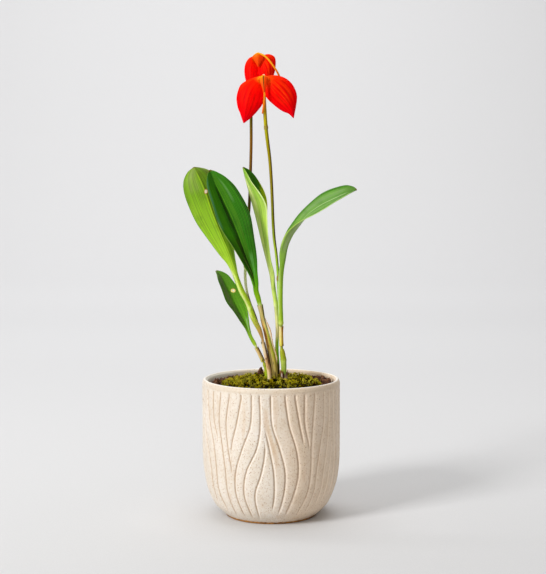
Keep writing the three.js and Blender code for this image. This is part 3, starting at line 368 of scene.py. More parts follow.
def pot_shell():
    """The pot as rings of points, closest together on the carved lines."""
    lines = FRONT_LINES + [side_line(line, i) for i, line in enumerate(RIGHT_LINES)]
    for angles, low, high in FRONT_LINES[2:17]:
        lines.append(([angle + 180 for angle in angles], low, high))
    lines += [side_line(line, i) for i, line in enumerate(LEFT_LINES)]
    tables = [rounded(np.column_stack([LINE_HEIGHTS, angles])[::-1], 8) for angles, _, _ in lines]
    lows = np.array([low for _, low, _ in lines])
    highs = np.array([high for _, _, high in lines])
    offsets = np.array(GROOVE_COLUMNS)
    quarters = np.array([0.25, 0.5, 0.75])

    def columns(height, radius):
        """The angle of every column at a height, and how deep the carving is there."""
        centres = np.array([np.interp(height, table[:, 0], table[:, 1]) for table in tables])
        gaps = (np.roll(centres, -1) - centres) % 360
        spread = np.degrees(offsets / radius)[None, :]
        right = np.minimum(1, ROOM_RIGHT * gaps / spread.max())[:, None]
        left = np.minimum(1, -ROOM_LEFT * np.roll(gaps, 1) / spread.min())[:, None]
        near = centres[:, None] + np.where(spread > 0, spread * right, spread * left)
        start = near[:, -1:]
        room = (np.roll(near[:, 0], -1)[:, None] - start) % 360
        angles = np.hstack([near, start + room * quarters[None, :]]).ravel()
        away = (angles[:, None] - centres[None, :] + 180) % 360 - 180
        away = np.radians(away) * radius
        # A line opens over 7 mm at its foot, and over 1.6 mm under the lip or 9 mm lower down.
        open_low = np.clip((height - lows) / 7, 0, 1)
        open_high = np.clip((highs - height) / np.where(highs > 100, 1.6, 9), 0, 1)
        openness = np.minimum(open_low, open_high) ** 0.7
        width = np.where(away < 0, GROOVE_STEEP, GROOVE_SLOPE) * (0.5 + 0.5 * openness)[None, :]
        share = np.clip(1 - np.abs(away) / width, 0, 1)
        cuts = openness[None, :] * share * share * (3 - 2 * share)
        depth = cuts.max(1)
        wall_side = np.clip(away / width, -1, 1)[np.arange(len(angles)), cuts.argmax(1)]
        shoulder = (openness[None, :] * np.exp(-(away / SHOULDER_HALF) ** 2)).max(1)
        middle = np.interp(height, HOLLOW_HEIGHTS, HOLLOW_ANGLES)
        off = np.radians((angles - middle + 180) % 360 - 180) * radius
        fade = np.interp(height, *HOLLOW_FADE)
        hollow = HOLLOW_DEPTH * fade * np.exp(-(off / HOLLOW_HALF) ** 2)
        return angles, depth, wall_side, SHOULDER_DEPTH * shoulder, hollow

    wall = rounded(WALL_PROFILE, 12)
    heights = np.concatenate([[1.6, 2.0, 2.4], np.linspace(CARVED_FROM, WALL_TOP, WALL_ROWS)])
    rows = [(h, r, False) for h, r in FOOT_PROFILE]
    rows += [(h, min(np.interp(h, wall[:, 0], wall[:, 1]), POT_RADIUS), True) for h in heights]
    rows += [(h, r, False) for h, r in rounded(LIP_PROFILE, 4)[1:]]
    rings, lies = [], []
    for height, radius, carved in rows:
        at = np.clip(height, CARVED_FROM, WALL_TOP)
        angles, depth, wall_side, soft, hollow = columns(at, radius if carved else POT_RADIUS)
        turn = np.radians(angles)
        uneven = 0.10 * np.sin(3 * turn + height * 0.07) + 0.07 * np.sin(7 * turn - height * 0.11)
        throwing = 0.05 * np.sin(height * 1.1 + 0.8 * turn)
        carved = float(carved)
        cut = (GROOVE_DEPTH * depth + soft + hollow) * carved
        inset = (0.17 - uneven) + 0.05 - throwing if height > 3 else np.zeros_like(turn)
        out = radius - cut - inset * min(1, max(0, (height - 3) / 6))
        up = np.full_like(turn, height)
        rings.append(np.column_stack([out * np.sin(turn), -out * np.cos(turn), up]))
        lies.append(np.column_stack([depth * carved, hollow * carved, wall_side]))
    return lofted(np.array(rings), np.array(lies))


make_piece("stoneware_pot", [pot_shell()], stoneware(), ["pot"])

# ---- Rhizome, roots and bark mix -----------------------------------------------------------------
# The creeping rhizome and its roots lie in chopped bark, which fills the pot to just under the lip.
# The coarsest chips show in a ring between the moss and the pot's wall.


def bark():
    """Bark: dark and light layers, and pale dust."""
    material, tree, shader = finish("bark", IOR=1.45)
    place = place_mm(tree)
    layers = grain(tree, scaled(tree, place, (0.35, 0.35, 1.6)), 1.0, 6)
    colour = ramp(tree, layers, [
        (0.3, "140a05"), (0.43, "341c0d"), (0.53, "60361c"), (0.64, "946438"), (0.8, "c89a66"),
    ])
    dust = level(tree, grain(tree, place, 2.2, 3), 0.62, 0.8, 0.0, 0.5)
    colour = blend(tree, dust, colour, "b58a5c")
    dress(tree, shader, colour, level(tree, layers, 0.3, 0.7, 0.95, 0.75), layers, 0.7)
    return material


def root_skin():
    """Pale root: fibres along it and a green tinge."""
    material, tree, shader = finish("root_skin", IOR=1.45)
    place = place_mm(tree)
    fibre = grain(tree, scaled(tree, place, (1.4, 1.4, 0.3)), 1.0, 4)
    colour = ramp(tree, fibre, [(0.3, "8b7c58"), (0.5, "c6bb98"), (0.75, "ddd5b9")])
    green = level(tree, grain(tree, place, 0.12), 0.5, 0.7, 0.0, 0.4)
    colour = blend(tree, green, colour, "8f9a4e")
    dress(tree, shader, colour, level(tree, fibre, 0.3, 0.7, 0.85, 0.65), fibre, 0.2)
    return material


def scatter(i, j):
    """A repeatable value from 0 to 1 for a pair of numbers."""
    return (np.sin(i * 127.1 + j * 311.7) * 43758.5453) % 1.0


def block_grid(cells):
    """The points of a cube's surface, cells to an edge, from -1 to 1, and its faces."""
    index, points, faces = {}, [], []

    def corner(*place):
        if place not in index:
            index[place] = len(points)
            points.append([2 * v / cells - 1 for v in place])
        return index[place]

    for axis in range(3):
        for wall in (0, cells):
            for i in range(cells):
                for j in range(cells):
                    square = [(i, j), (i + 1, j), (i + 1, j + 1), (i, j + 1)]
                    face = [corner(*np.insert(p, axis, wall).tolist()) for p in square]
                    faces.append(face if (wall > 0) == (axis != 1) else face[::-1])
    return np.array(points), faces


CHIP_POINTS, CHIP_FACES = block_grid(4)


def bark_flake(place, turn, size, seed, tilt=0.3, point=0.0):
    """One broken chip: a block split along its layers, uneven, and drawn in to a point above."""
    p = CHIP_POINTS * (1 - 0.16 * (np.abs(CHIP_POINTS).prod(1, keepdims=True)))
    taper = 1 - (0.12 + 0.4 * scatter(seed, 1)) * (p[:, 2] + 1) / 2 * scatter(seed, 2)
    lean = 0.5 * (scatter(seed, 3) - 0.5)
    q = np.column_stack([p[:, 0] * taper + lean * p[:, 2], p[:, 1] * taper, p[:, 2]])
    layers = 0.10 * np.sin(7 * p[:, 2] + 9 * scatter(seed, 4) + 2 * p[:, 0])
    corner = np.round(p * [4, 4, 2])
    ragged = 0.16 * (scatter(seed + corner[:, 0], corner[:, 1] + 3 * corner[:, 2]) - 0.5)
    q[:, 0] += ragged * (np.abs(p[:, 0]) > 0.9) + layers * np.sign(p[:, 0]) * 0.6
    q[:, 1] += layers * np.sign(p[:, 1]) + 0.7 * ragged * (np.abs(p[:, 1]) > 0.9)
    q[:, 2] += 0.9 * ragged * (p[:, 2] > 0.4) + 0.12 * np.sin(3 * p[:, 0] + 6 * scatter(seed, 5))
    q[:, 0] *= 1 - point * (p[:, 2] + 1) / 2
    q[:, 1] *= 1 - 0.6 * point * (p[:, 2] + 1) / 2
    q *= np.array(size) / 2
    tilts = [tilt * (scatter(seed, k) - 0.5) * 2 for k in (6, 7)]
    for axis, angle in enumerate([*tilts, turn]):
        a, b = (axis + 1) % 3, (axis + 2) % 3
        c, s = math.cos(angle), math.sin(angle)
        q[:, a], q[:, b] = q[:, a] * c - q[:, b] * s, q[:, a] * s + q[:, b] * c
    return shell(q + np.array(place), CHIP_FACES, np.tile([scatter(seed, 8), 0, 0], (len(q), 1)))


bark_finish = bark()
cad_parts["rhizome_roots"].data.materials[0] = root_skin()
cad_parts["potting_mix"].data.materials[0] = bark_finish
MIX_TOP = 112.2
WALL_REACH = 54.6
RING_RADIUS = 47.6
RING_CHIPS = 190
RIGHT_RADIUS = 45.5
RIGHT_CHIPS = 26


def ring_chip(angle, radius, height, size, turn, seed, tilt):
    """A chip that lies in the ring, at an angle from the front."""
    place = [radius * math.sin(angle), -radius * math.cos(angle), height]
    return bark_flake(place, angle + turn, size, seed, tilt=tilt)


# Chips all round, inside the pot's wall, and a second layer on the right, where the moss is thin.
ring_chips = []
for i in range(RING_CHIPS):
    along, off, long, wide, high, up, turn = (scatter(i, k) for k in range(11, 18))
    angle = 2 * math.pi * (i + along) / RING_CHIPS
    size = np.array([3 + 2.6 * long, 1.6 + 1.6 * wide, 1.6 + 2.4 * high])
    radius = min(RING_RADIUS + 5 * off, WALL_REACH - size.max() * 0.5)
    height = MIX_TOP + 1.6 * up
    ring_chips.append(ring_chip(angle, radius, height, size, 2.6 * (turn - 0.5), i, 0.8))
for i in range(RIGHT_CHIPS):
    along, off, long, wide, high, up, turn = (scatter(i, k) for k in range(21, 28))
    angle = math.radians(70 + 50 * along)
    size = np.array([3.2 + 2 * long, 1.8 + 1.4 * wide, 2.2 + 1.6 * high])
    radius = RIGHT_RADIUS + 5.5 * off
    height = MIX_TOP + 1.8 + 2.4 * up
    ring_chips.append(ring_chip(angle, radius, height, size, 3 * turn, i + 0.5, 0.9))
make_piece("ring_of_bark", ring_chips, bark_finish, sharp_degrees=40)

# ---- Leaves --------------------------------------------------------------------------------------
# Five leathery leaves, each one growth from the rhizome: a round stem, a channelled stalk, and a
# paddle-shaped blade with a sunk midrib, paler below than above.
STEM_FOOT = 108.1
# Half the thickness of a blade, of its margin, and of the thinnest edge.
BLADE_HALF = 0.55
MARGIN_HALF = 0.33
THINNEST_HALF = 0.04
# Each leaf: stem rows [x, y, z, radius], blade rows [left margin, midrib, right margin], and the
# tip. upper says which of its faces is the upper one, and the colours run from the foot (0) by the
# blade's start (0.5) to the tip (1). Each strip of another colour: its middle across from left (-1)
# to right (1), half its width, where it starts and ends, its colour, its strength, and 1 on the
# upper face.
LEAVES = {
    "leaf_a": {
        "stem": [
            [-1.3, -1.8, STEM_FOOT, 1], [-1.5, -2, 122.5, 1], [-3, -2, 131.5, 1],
            [-4.5, -2, 139.5, 1], [-7, -2, 151.5, 1], [-10, -2.5, 161, 2], [-15.2, -3, 171.5, 2.35],
            [-20.1, -2.5, 185, 2.5], [-25.7, -2, 195.5, 2.5], [-30.6, -1, 208.5, 2.4],
        ],
        "blade": [
            [[-37.5, 2, 217.5], [-33.7, 0, 218.5], [-31, 4, 220]],
            [[-44, 5.5, 225], [-36.8, 1, 228], [-32.5, 8.5, 230]],
            [[-56.5, 7, 241], [-44, 2.5, 245.5], [-36, 12.5, 249]],
            [[-66, 8, 256], [-50.5, 4, 262], [-40.5, 16, 266]],
            [[-74, 9, 274], [-57, 6, 281], [-45.5, 19, 285.5]],
            [[-76, 10.5, 287], [-61.5, 7, 291.5], [-50.5, 18, 296]],
            [[-73, 12, 296], [-64.5, 7.5, 297.5], [-57, 14, 300]],
        ],
        "tip": [-66.5, 9, 301.5],
        "upper": 0,
        "above": [(0.2, "8f9a45"), (0.5, "5f9a1c"), (0.8, "2f7414"), (1.0, "2c6a14")],
        "below": [
            (0.2, "cda26c"), (0.25, "cd9c5c"), (0.275, "b8ac48"), (0.31, "b4c04a"),
            (0.345, "b8d04c"), (0.355, "dcec90"), (0.365, "bcd854"), (0.44, "bfdc58"),
            (0.5, "b4d248"), (0.57, "9cc42c"), (0.7, "88b028"), (0.8, "82aa24"), (0.9, "6e9818"),
            (1.0, "728f2c"),
        ],
        "strips": [
            (0.25, 0.7, 0.29, 0.52, "a0c000", 0.85, 0), (1.0, 0.22, 0.24, 0.42, "4c2c0c", 0.95, 0),
            # ecf4a8 on the stalk's left is a painted highlight.
            (-0.72, 0.3, 0.3, 0.54, "ecf4a8", 0.75, 0), (0.55, 0.4, 0.55, 1.02, "6c9428", 0.6, 0),
            # Along the midrib's keel, the bright b2d62a is a painted highlight and the dark 3f5204
            # painted shade.
            (0.8, 0.3, 0.84, 1.02, "8fa650", 0.7, 0), (-0.03, 0.035, 0.45, 0.99, "b2d62a", 0.9, 0),
            (0.055, 0.035, 0.62, 0.99, "3f5204", 0.9, 0),
            (-0.45, 0.4, 0.88, 1.02, "8a9f4c", 0.55, 0), (-0.99, 0.05, 0.5, 1.02, "4f8004", 0.8, 0),
            (0.97, 0.05, 0.84, 0.99, "c3d487", 0.8, 0),
        ],
        "blemish": [(-56.2, 280.6), (1.2, 1.7)],
    },
    "leaf_b": {
        "stem": [
            [2.8, 2.9, STEM_FOOT, 2.1], [2.5, 3, 125.5, 2.1], [1, 3, 136, 2.3], [-1, 2.5, 145, 1.9],
            [-4, 1.5, 157.5, 1.4], [-7, 0.5, 169.5, 1.3], [-8.5, 0, 177.5, 1.4],
            [-11, -0.5, 188, 2.2], [-13, -1, 195, 2.3],
        ],
        "blade": [
            [[-16, -2, 201], [-14, -1, 201.5], [-11, -2.5, 202.5]],
            [[-18.8, -5, 209], [-15.8, -1.5, 210], [-11.8, -5, 212]],
            [[-24, -10, 219], [-20, -2, 221], [-12.3, -6.5, 224.5]],
            [[-34, -13.5, 235], [-26.5, -2.5, 239], [-14.5, -9.5, 244]],
            [[-44.5, -15, 253.5], [-34, -3, 258], [-19, -10, 264.5]],
            [[-51, -15, 272.5], [-42.5, -3, 276.5], [-28.5, -10.5, 283]],
            [[-54.2, -12.5, 285], [-48, -3, 288], [-38, -9.5, 292.5]],
            [[-54.5, -8.5, 293], [-51, -3.5, 295], [-46, -7.5, 297.3]],
        ],
        "tip": [-52.5, -4.5, 299],
        "upper": 1,
        "above": [
            (0.1, "9a9a50"), (0.405, "a5a95c"), (0.42, "c9d98a"), (0.432, "c6e070"),
            (0.445, "90b822"), (0.48, "86b414"), (0.53, "559808"), (0.58, "328004"),
            (0.66, "1f6402"), (0.8, "216802"), (0.92, "2c7408"), (1.0, "327818"),
        ],
        "below": [
            (0.1, "9a9a50"), (0.42, "b6d86a"), (0.45, "86ae3c"), (0.7, "76a42c"), (1.0, "6a9a3e"),
        ],
        "strips": [
            # 5c9c70 along the left margin is a painted sheen.
            (-0.75, 0.3, 0.72, 1.0, "347c0c", 0.7, 1), (-0.92, 0.13, 0.76, 0.99, "5c9c70", 0.8, 1),
            # Along the crease, 042c01 on its left is painted shade and 6fb31a on its right a painted
            # highlight.
            (-0.16, 0.14, 0.5, 0.95, "042c01", 0.92, 1), (-0.5, 0.5, 0.5, 0.74, "223204", 0.85, 1),
            (-0.42, 0.07, 0.55, 0.66, "7f8150", 0.7, 1), (0.03, 0.03, 0.6, 0.98, "6fb31a", 0.9, 1),
            (0.25, 0.2, 0.6, 0.99, "3f7c0c", 0.8, 1), (0.5, 0.1, 0.84, 0.97, "6f9c5c", 0.5, 1),
            # 5c9454 is a painted sheen; c6e070 on the left margin and 4f9c1a near the stalk are
            # painted highlights.
            (0.5, 0.22, 0.54, 0.66, "5c9454", 0.6, 1), (0.93, 0.1, 0.55, 0.95, "083c02", 0.8, 1),
            (-0.98, 0.025, 0.6, 0.82, "c6e070", 0.8, 1), (0.2, 0.1, 0.5, 0.62, "4f9c1a", 0.6, 1),
            (-0.62, 0.3, 0.62, 0.96, "408c06", 0.6, 1),
        ],
    },
    "leaf_c": {
        "stem": [
            [5.6, 8.4, STEM_FOOT, 1.9], [5.5, 9, 128, 1.9], [5, 9, 136, 1.9], [5, 8.5, 147, 1.5],
            [5.5, 8, 160, 1.6], [5, 7.5, 173, 1.8], [4, 7, 183.5, 1.9], [2.5, 6.5, 194.5, 1.9],
        ],
        "blade": [
            [[2.8, 3.6, 208.5], [0.4, 6, 208], [2.5, 8.5, 209]],
            [[-0.3, 1.5, 223], [-3.4, 6, 222], [-0.6, 10.5, 223.5]],
            [[-2.4, -0.5, 238.5], [-7.6, 5.5, 237], [-2.8, 12, 239]],
            [[-3, -2.5, 256], [-11.6, 5, 254], [-3.3, 12.5, 257]],
            [[-4, -3.5, 268], [-15.2, 5, 268], [-3.4, 12.3, 270]],
            [[-9, -4.5, 278.5], [-18.5, 5, 280], [-6, 11.5, 280.5]],
            [[-16.5, -2.5, 289], [-21.5, 5, 291], [-12, 9.5, 291.5]],
            [[-21.3, 1, 297.5], [-23.3, 5, 298], [-18, 7.3, 298.5]],
        ],
        "tip": [-24, 5, 301.5],
        "upper": 1,
        "above": [
            (0.08, "3a2a10"), (0.125, "4f4a14"), (0.145, "7fc02c"), (0.24, "84c834"),
            (0.27, "dcd49a"), (0.37, "cdd585"), (0.42, "c9dc6c"), (0.5, "b5d45c"), (0.62, "7fac2a"),
            (0.75, "3a8408"), (1.0, "2c7006"),
        ],
        "below": [
            (0.08, "3a2a10"), (0.12, "5f4a1c"), (0.145, "a4d43c"), (0.24, "bcdc54"),
            (0.27, "fff4b8"), (0.34, "fff6b0"), (0.41, "e8f090"), (0.43, "f4ffb0"),
            (0.445, "dcf078"), (0.56, "cce274"), (0.7, "acca62"), (0.84, "a0c450"),
            (0.95, "98c04c"), (1.0, "86b83c"),
        ],
        "strips": [
            # f4ffa0 is painted light on the part of the blade in leaf B's shadow.
            (0.5, 0.5, 0.44, 0.53, "efb880", 0.45, 0), (-0.24, 0.3, 0.54, 0.97, "f4ffa0", 0.95, 0),
            (-0.97, 0.06, 0.7, 0.99, "ecffb4", 0.8, 0), (0.0, 0.07, 0.6, 0.99, "a8cc50", 0.5, 0),
            (-0.85, 0.2, 0.74, 0.9, "c0e460", 0.4, 0), (0.9, 0.14, 0.76, 0.93, "b8d400", 0.85, 1),
            (0.98, 0.05, 0.72, 0.96, "d6e400", 0.8, 1), (0.35, 0.3, 0.75, 0.95, "1f6a06", 0.6, 1),
        ],
    },
    "leaf_d": {
        "stem": [
            [11, 0.2, STEM_FOOT, 2.2], [11, 0, 125, 2.3], [10.6, 0, 135, 2.5], [9.5, 0, 142.5, 2.1],
            [9, 0, 146.5, 1.1], [8.5, 0, 162, 1.1], [8.4, 0, 167.5, 2.1], [8, 0, 182, 2.1],
            [8, 0, 195, 2.1], [8.5, 0, 211.5, 2.2],
        ],
        "blade": [
            [[7, -1.5, 224.5], [10.8, 0, 223.5], [7.2, 2, 224.5]],
            [[8.2, -3, 234], [13.4, 0, 234], [8.4, 3, 235]],
            [[12, -5, 243.5], [17.9, 0, 243], [12.8, 5.5, 245]],
            [[18, -7.5, 250], [22.8, 0, 250], [18.5, 7.3, 253.5]],
            [[26, -9.3, 256.3], [28.2, 0.5, 256.8], [25.2, 9, 262.5]],
            [[35.6, -10, 261], [34.8, 1, 263], [33, 9.5, 270.5]],
            [[46.6, -10, 266.5], [44.5, 1.5, 269.3], [42.5, 9.5, 278]],
            [[57.5, -9, 273.5], [55.8, 2, 274.8], [53.2, 10, 283]],
            [[66, -6.5, 278.7], [64.8, 2.5, 279], [64, 8.5, 286]],
            [[71.3, -2.5, 281.3], [70.8, 2.5, 281.5], [70.8, 6.3, 284.8]],
        ],
        "tip": [73.6, 2.5, 282.2],
        "upper": 0,
        "above": [
            (0.08, "9fb440"), (0.125, "b9cc60"), (0.135, "a4b034"), (0.19, "b0b034"),
            (0.27, "a8bc34"), (0.285, "d3e480"), (0.3, "a8c440"), (0.42, "a4c450"),
            (0.55, "8cb040"), (0.66, "7ea844"), (0.75, "6c9a46"), (0.9, "649446"), (1.0, "447418"),
        ],
        "below": [
            (0.08, "9fbc52"), (0.125, "b9cc60"), (0.135, "9fa42c"), (0.19, "9f982c"),
            (0.27, "96a82c"), (0.285, "c5d462"), (0.3, "98bc2c"), (0.45, "90b430"),
            (0.53, "84ac3c"), (0.6, "86aa50"), (0.7, "94b068"), (0.8, "88a45c"), (1.0, "7a9f52"),
        ],
        "strips": [
            # d8ecc8 on the stalk's left is a painted sheen.
            (-0.55, 0.4, 0.3, 0.62, "d8ecc8", 0.6, 1), (-0.45, 0.4, 0.3, 0.56, "7cb410", 0.6, 0),
            (-1.0, 0.1, 0.6, 0.8, "d0f06a", 0.9, 0), (-1.0, 0.12, 0.6, 0.99, "c4e48c", 0.8, 1),
            (0.9, 0.16, 0.6, 0.99, "2c6a0c", 0.85, 1), (0.5, 0.22, 0.72, 0.97, "7c9c68", 0.6, 1),
            # b4cc94 along the midrib is a painted highlight.
            (0.04, 0.04, 0.7, 0.97, "b4cc94", 0.75, 1), (-0.1, 0.07, 0.72, 0.97, "42761a", 0.7, 1),
            (-0.8, 0.12, 0.76, 0.99, "357410", 0.7, 1), (-0.45, 0.2, 0.7, 0.95, "709c4c", 0.5, 1),
            (0.85, 0.12, 0.52, 0.72, "8ab83a", 0.6, 0), (-0.4, 0.3, 0.58, 0.76, "a8b494", 0.6, 0),
        ],
    },
    "leaf_e": {
        "stem": [
            [-3.6, 1.8, STEM_FOOT, 1.7], [-4, 2, 124, 1.7], [-5.6, 2.4, 130, 1.6],
            [-6.6, 2.8, 132.5, 1], [-9.5, 3.5, 138.5, 1], [-12.9, 4.8, 145.3, 1],
            [-14.6, 5.5, 148.5, 1.6], [-18, 7, 154.5, 1.6],
        ],
        "blade": [
            [[-22, 6.5, 160.5], [-20.5, 8, 161], [-18.5, 7, 162]],
            [[-26, 4.5, 167], [-23.7, 8.5, 168], [-19.6, 6.5, 170]],
            [[-32.5, 2.5, 176], [-28.5, 9.5, 177], [-21, 6.8, 180.5]],
            [[-38.3, 2.3, 185], [-33.8, 10, 187], [-25.5, 7, 191]],
            [[-42.5, 3, 194], [-38, 10, 196], [-29.8, 7, 199]],
            [[-45.7, 5, 203], [-42, 10, 204.5], [-36.5, 7.7, 207.3]],
            [[-47, 7.5, 208], [-45.2, 10, 209], [-42, 8.5, 210.8]],
        ],
        "tip": [-47.8, 10, 211.8],
        "upper": 1,
        "above": [
            (0.15, "a8bc2c"), (0.24, "b4bc40"), (0.39, "b4b450"), (0.4, "dce490"), (0.42, "a8cc34"),
            (0.5, "94c030"), (0.58, "6ca424"), (0.7, "5c981c"), (0.85, "548c18"), (1.0, "4c7c24"),
        ],
        "below": [(0.1, "9fac3a"), (0.5, "8fb044"), (1.0, "6f9a4a")],
        "strips": [
            # 6c7a54 over the left half is painted shade with a grey painted reflection, and a0c48c
            # near the stalk a painted sheen.
            (-0.55, 0.5, 0.6, 1.02, "6c7a54", 0.92, 1), (-0.97, 0.08, 0.5, 0.98, "2c6410", 0.8, 1),
            (0.66, 0.22, 0.5, 0.64, "a0c48c", 0.7, 1), (0.03, 0.05, 0.62, 0.98, "2c6410", 0.6, 1),
            (0.9, 0.12, 0.7, 0.96, "3f7c10", 0.7, 1), (-0.95, 0.25, 0.42, 0.54, "5f9410", 0.6, 1),
        ],
        "bitten": True,
    },
}
LEAF_TIP_WIDTH = 1.6
LEAF_COLUMNS = 33
LEAF_STEPS = 12
# How far along each leaf its joints are, where the stalk is a little swollen and paler.
LEAF_JOINTS = {
    "leaf_a": [0.355], "leaf_b": [0.43], "leaf_c": [0.43], "leaf_d": [0.285, 0.13], "leaf_e": [0.4],
}
# A snail's hole through the small leaf: its centre, its two half widths and how ragged it is.
HOLE_CENTRE = np.array([-33.1, 194.5])
HOLE_HALF = np.array([1.0, 0.8])


def unit(vectors):
    """Vectors made one long."""
    return vectors / np.maximum(np.linalg.norm(vectors, axis=-1, keepdims=True), 1e-9)


def two_skins(sheet, size):
    """A sheet's faces, the same turned over on a second layer, and walls along the open edges."""
    edges = {(a, b) for face in sheet.tolist() for a, b in zip(face, face[1:] + face[:1])}
    walls = [[b, a, a + size, b + size] for a, b in edges if (b, a) not in edges]
    return sheet.tolist() + (sheet[:, ::-1] + size).tolist() + walls


def blade_rows(rows, tip, halves, tip_width):
    """Rows [left, middle, right, half thickness, half margin], closed by a small row at the tip."""
    rows = [np.array(row, float) for row in rows]
    side = unit(rows[-1][2] - rows[-1][0]) * tip_width / 2
    rows.append(np.array([tip - side, tip, tip + side]))
    return np.array([[*row.ravel(), *half] for row, half in zip(rows, halves)])


def blade_shell(rows, lie_t, upper=0, relief=None, kind=0.0, columns=LEAF_COLUMNS, hole=None):
    """A closed blade: a creased, cupped sheet through its rows, two faces and a round margin."""
    left, middle, right = rows[:, None, 0:3], rows[:, None, 3:6], rows[:, None, 6:9]
    u = np.sin(np.linspace(-math.pi / 2, math.pi / 2, columns))[None, :, None]
    creased = middle + np.abs(u) * (np.where(u < 0, left, right) - middle)
    cupped = middle + (right - left) * u / 2 + ((right + left) / 2 - middle) * u**2
    centre = (creased + cupped) / 2
    dropped = np.zeros((len(rows) - 1, columns - 1), bool)
    if hole is not None:
        centre, dropped = hole(centre)
    normal = unit(np.cross(np.gradient(centre, axis=0), np.gradient(centre, axis=1)))
    flat = u[..., 0]
    thick, thin = rows[:, 9:10], rows[:, 10:11]
    half = thin * np.sqrt(1 - flat**10) + (thick - thin) * np.sqrt(1 - flat**2)
    half = np.maximum(half, THINNEST_HALF)
    off = np.abs(flat) * np.linalg.norm(right - left, axis=-1) / 2
    lift = [np.zeros_like(off), np.zeros_like(off)]
    if relief is not None:
        above, below = relief(flat, lie_t[:, None], off)
        lift = [above, below] if upper == 0 else [below, above]
    front, back = ((half + lift[k])[..., None] for k in (0, 1))
    faces_at = [centre + normal * front, centre - normal * back]
    size = len(rows) * columns
    sheet = np.array(quads(len(rows), columns)).reshape(len(rows) - 1, columns - 1, 4)
    faces = np.array(two_skins(sheet[~dropped], size))
    lie = [np.dstack(np.broadcast_arrays(flat, lie_t[:, None], float(k == upper))) for k in (0, 1)]
    used = np.zeros(2 * size, bool)
    used[np.unique(faces)] = True
    renumber = np.cumsum(used) - 1
    points = np.vstack([f.reshape(-1, 3) for f in faces_at])[used]
    lies = np.vstack([p.reshape(-1, 3) for p in lie])[used]
    return shell(points, renumber[faces].tolist(), lies, kind)


def leaf_relief(joints):
    """A sunk midrib above and a keel below, fine ribs, a gentle wave, and swollen joints."""
    def relief(u, t, off):
        blade = np.clip((t - 0.46) / 0.08, 0, 1)
        ribs = 0.035 * np.cos(u * 34) * blade * (1 - u**2)
        fade = np.clip((t - 0.55) / 0.1, 0, 1) * np.clip((1 - t) / 0.1, 0, 1)
        wave = 0.4 * np.sin(34 * t + 3 * np.sign(u)) * u**2 * fade
        swollen = sum(0.3 * np.exp(-((t - joint) / 0.006) ** 2) for joint in joints)
        swollen = swollen * np.sqrt(1 - u**2)
        above = -0.28 * np.exp(-(off / 0.75) ** 2) * np.clip((t - 0.3) / 0.1, 0, 1) + ribs + wave
        below = 0.32 * np.exp(-(off / 0.8) ** 2) * blade + ribs - wave
        return above + swollen, below + swollen
    return relief


def leaf_hole(centre):
    """Moves the points at the hole's edge onto it, and drops the faces inside it."""
    away = (centre[..., [0, 2]] - HOLE_CENTRE) / HOLE_HALF
    turn = np.arctan2(away[..., 1], away[..., 0])
    edge = 1 + 0.06 * np.sin(2 * turn + 0.6) + 0.24 * np.sin(3 * turn - 2.36)
    reach = np.linalg.norm(away, axis=-1) / edge
    near = (reach > 0.72) & (reach < 1.22)
    step = np.where(near, (1 / reach - 1), 0)[..., None] * away * HOLE_HALF
    centre = centre.copy()
    centre[..., [0, 2]] += step
    middle = (reach[:-1, :-1] + reach[1:, :-1] + reach[:-1, 1:] + reach[1:, 1:]) / 4
    return centre, middle < 0.97


def leaf_shell(leaf, joints, hole=None):
    """A whole leaf: round stem and stalk running into the blade."""
    stem = np.array(leaf["stem"], float)
    blade = np.array(leaf["blade"], float)
    side = unit(blade[0, 2] - blade[0, 0])
    ends = np.vstack([stem[:1], stem, stem[-1:]])[:, :3]
    tangent = unit(ends[2:] - ends[:-2])
    across = unit(side - tangent * (tangent @ side)[:, None]) * stem[:, 3:]
    middle = stem[:, :3]
    radius = stem[:, 3:]
    stem_rows = np.hstack([middle - across, middle, middle + across, radius, 0.06 * radius])
    # The stalk's thickness runs out over the blade's first rows.
    excess = stem[-1, 3] - BLADE_HALF
    fading = [excess * max(0, 1 - (k + 1) / 3) for k in range(len(blade))]
    halves = [(BLADE_HALF + more, MARGIN_HALF) for more in fading]
    tip = np.array(leaf["tip"], float)
    closing = blade_rows(blade, tip, halves + [(MARGIN_HALF, MARGIN_HALF)], LEAF_TIP_WIDTH)
    fine = rounded(np.vstack([stem_rows, closing]), LEAF_STEPS)
    length = np.concatenate([[0], np.cumsum(np.linalg.norm(np.diff(fine[:, 3:6], axis=0), axis=1))])
    knee = length[(len(stem) - 1) * LEAF_STEPS]
    on_blade = 0.5 + 0.5 * (length - knee) / (length[-1] - knee)
    t = np.where(length < knee, 0.5 * length / knee, on_blade)
    return blade_shell(fine, t, leaf["upper"], leaf_relief(joints), hole=hole)


def band(tree, value, centre, half):
    """1 at the middle of a band of a value, falling softly to 0 at its edges."""
    off = calc(tree, "ABSOLUTE", calc(tree, "SUBTRACT", value, centre))
    return level(tree, off, half, half * 0.35)


def stretch(tree, value, start, end, fade):
    """1 between two values, with a soft start and end."""
    rise, fall = level(tree, value, start, start + fade), level(tree, value, end, end - fade)
    return times(tree, rise, fall)


def strip(tree, across, along, centre, half, start, end, fade):
    """1 on a strip: round a centre across a piece, and between two values along it."""
    return times(tree, band(tree, across, centre, half), stretch(tree, along, start, end, fade))


def streaked(tree, colour, streaks, light, dark):
    """A colour lightened on some streaks and darkened on others, each [from, to, share, colour]."""
    for (start, end, most, code), how in ((light, "OVERLAY"), (dark, "MULTIPLY")):
        colour = blend(tree, level(tree, streaks, start, end, 0, most), colour, code, how)
    return colour


def away_from(tree, place, centre, halves):
    """The way from a spot on a leaf, seen from the front, in the spot's own half widths."""
    middle = (centre[0], 0, centre[1])
    away = add(tree, "VectorMath", {0: place, 1: middle}, operation="SUBTRACT").outputs[0]
    return scaled(tree, away, (1 / halves[0], 0, 1 / halves[1]))


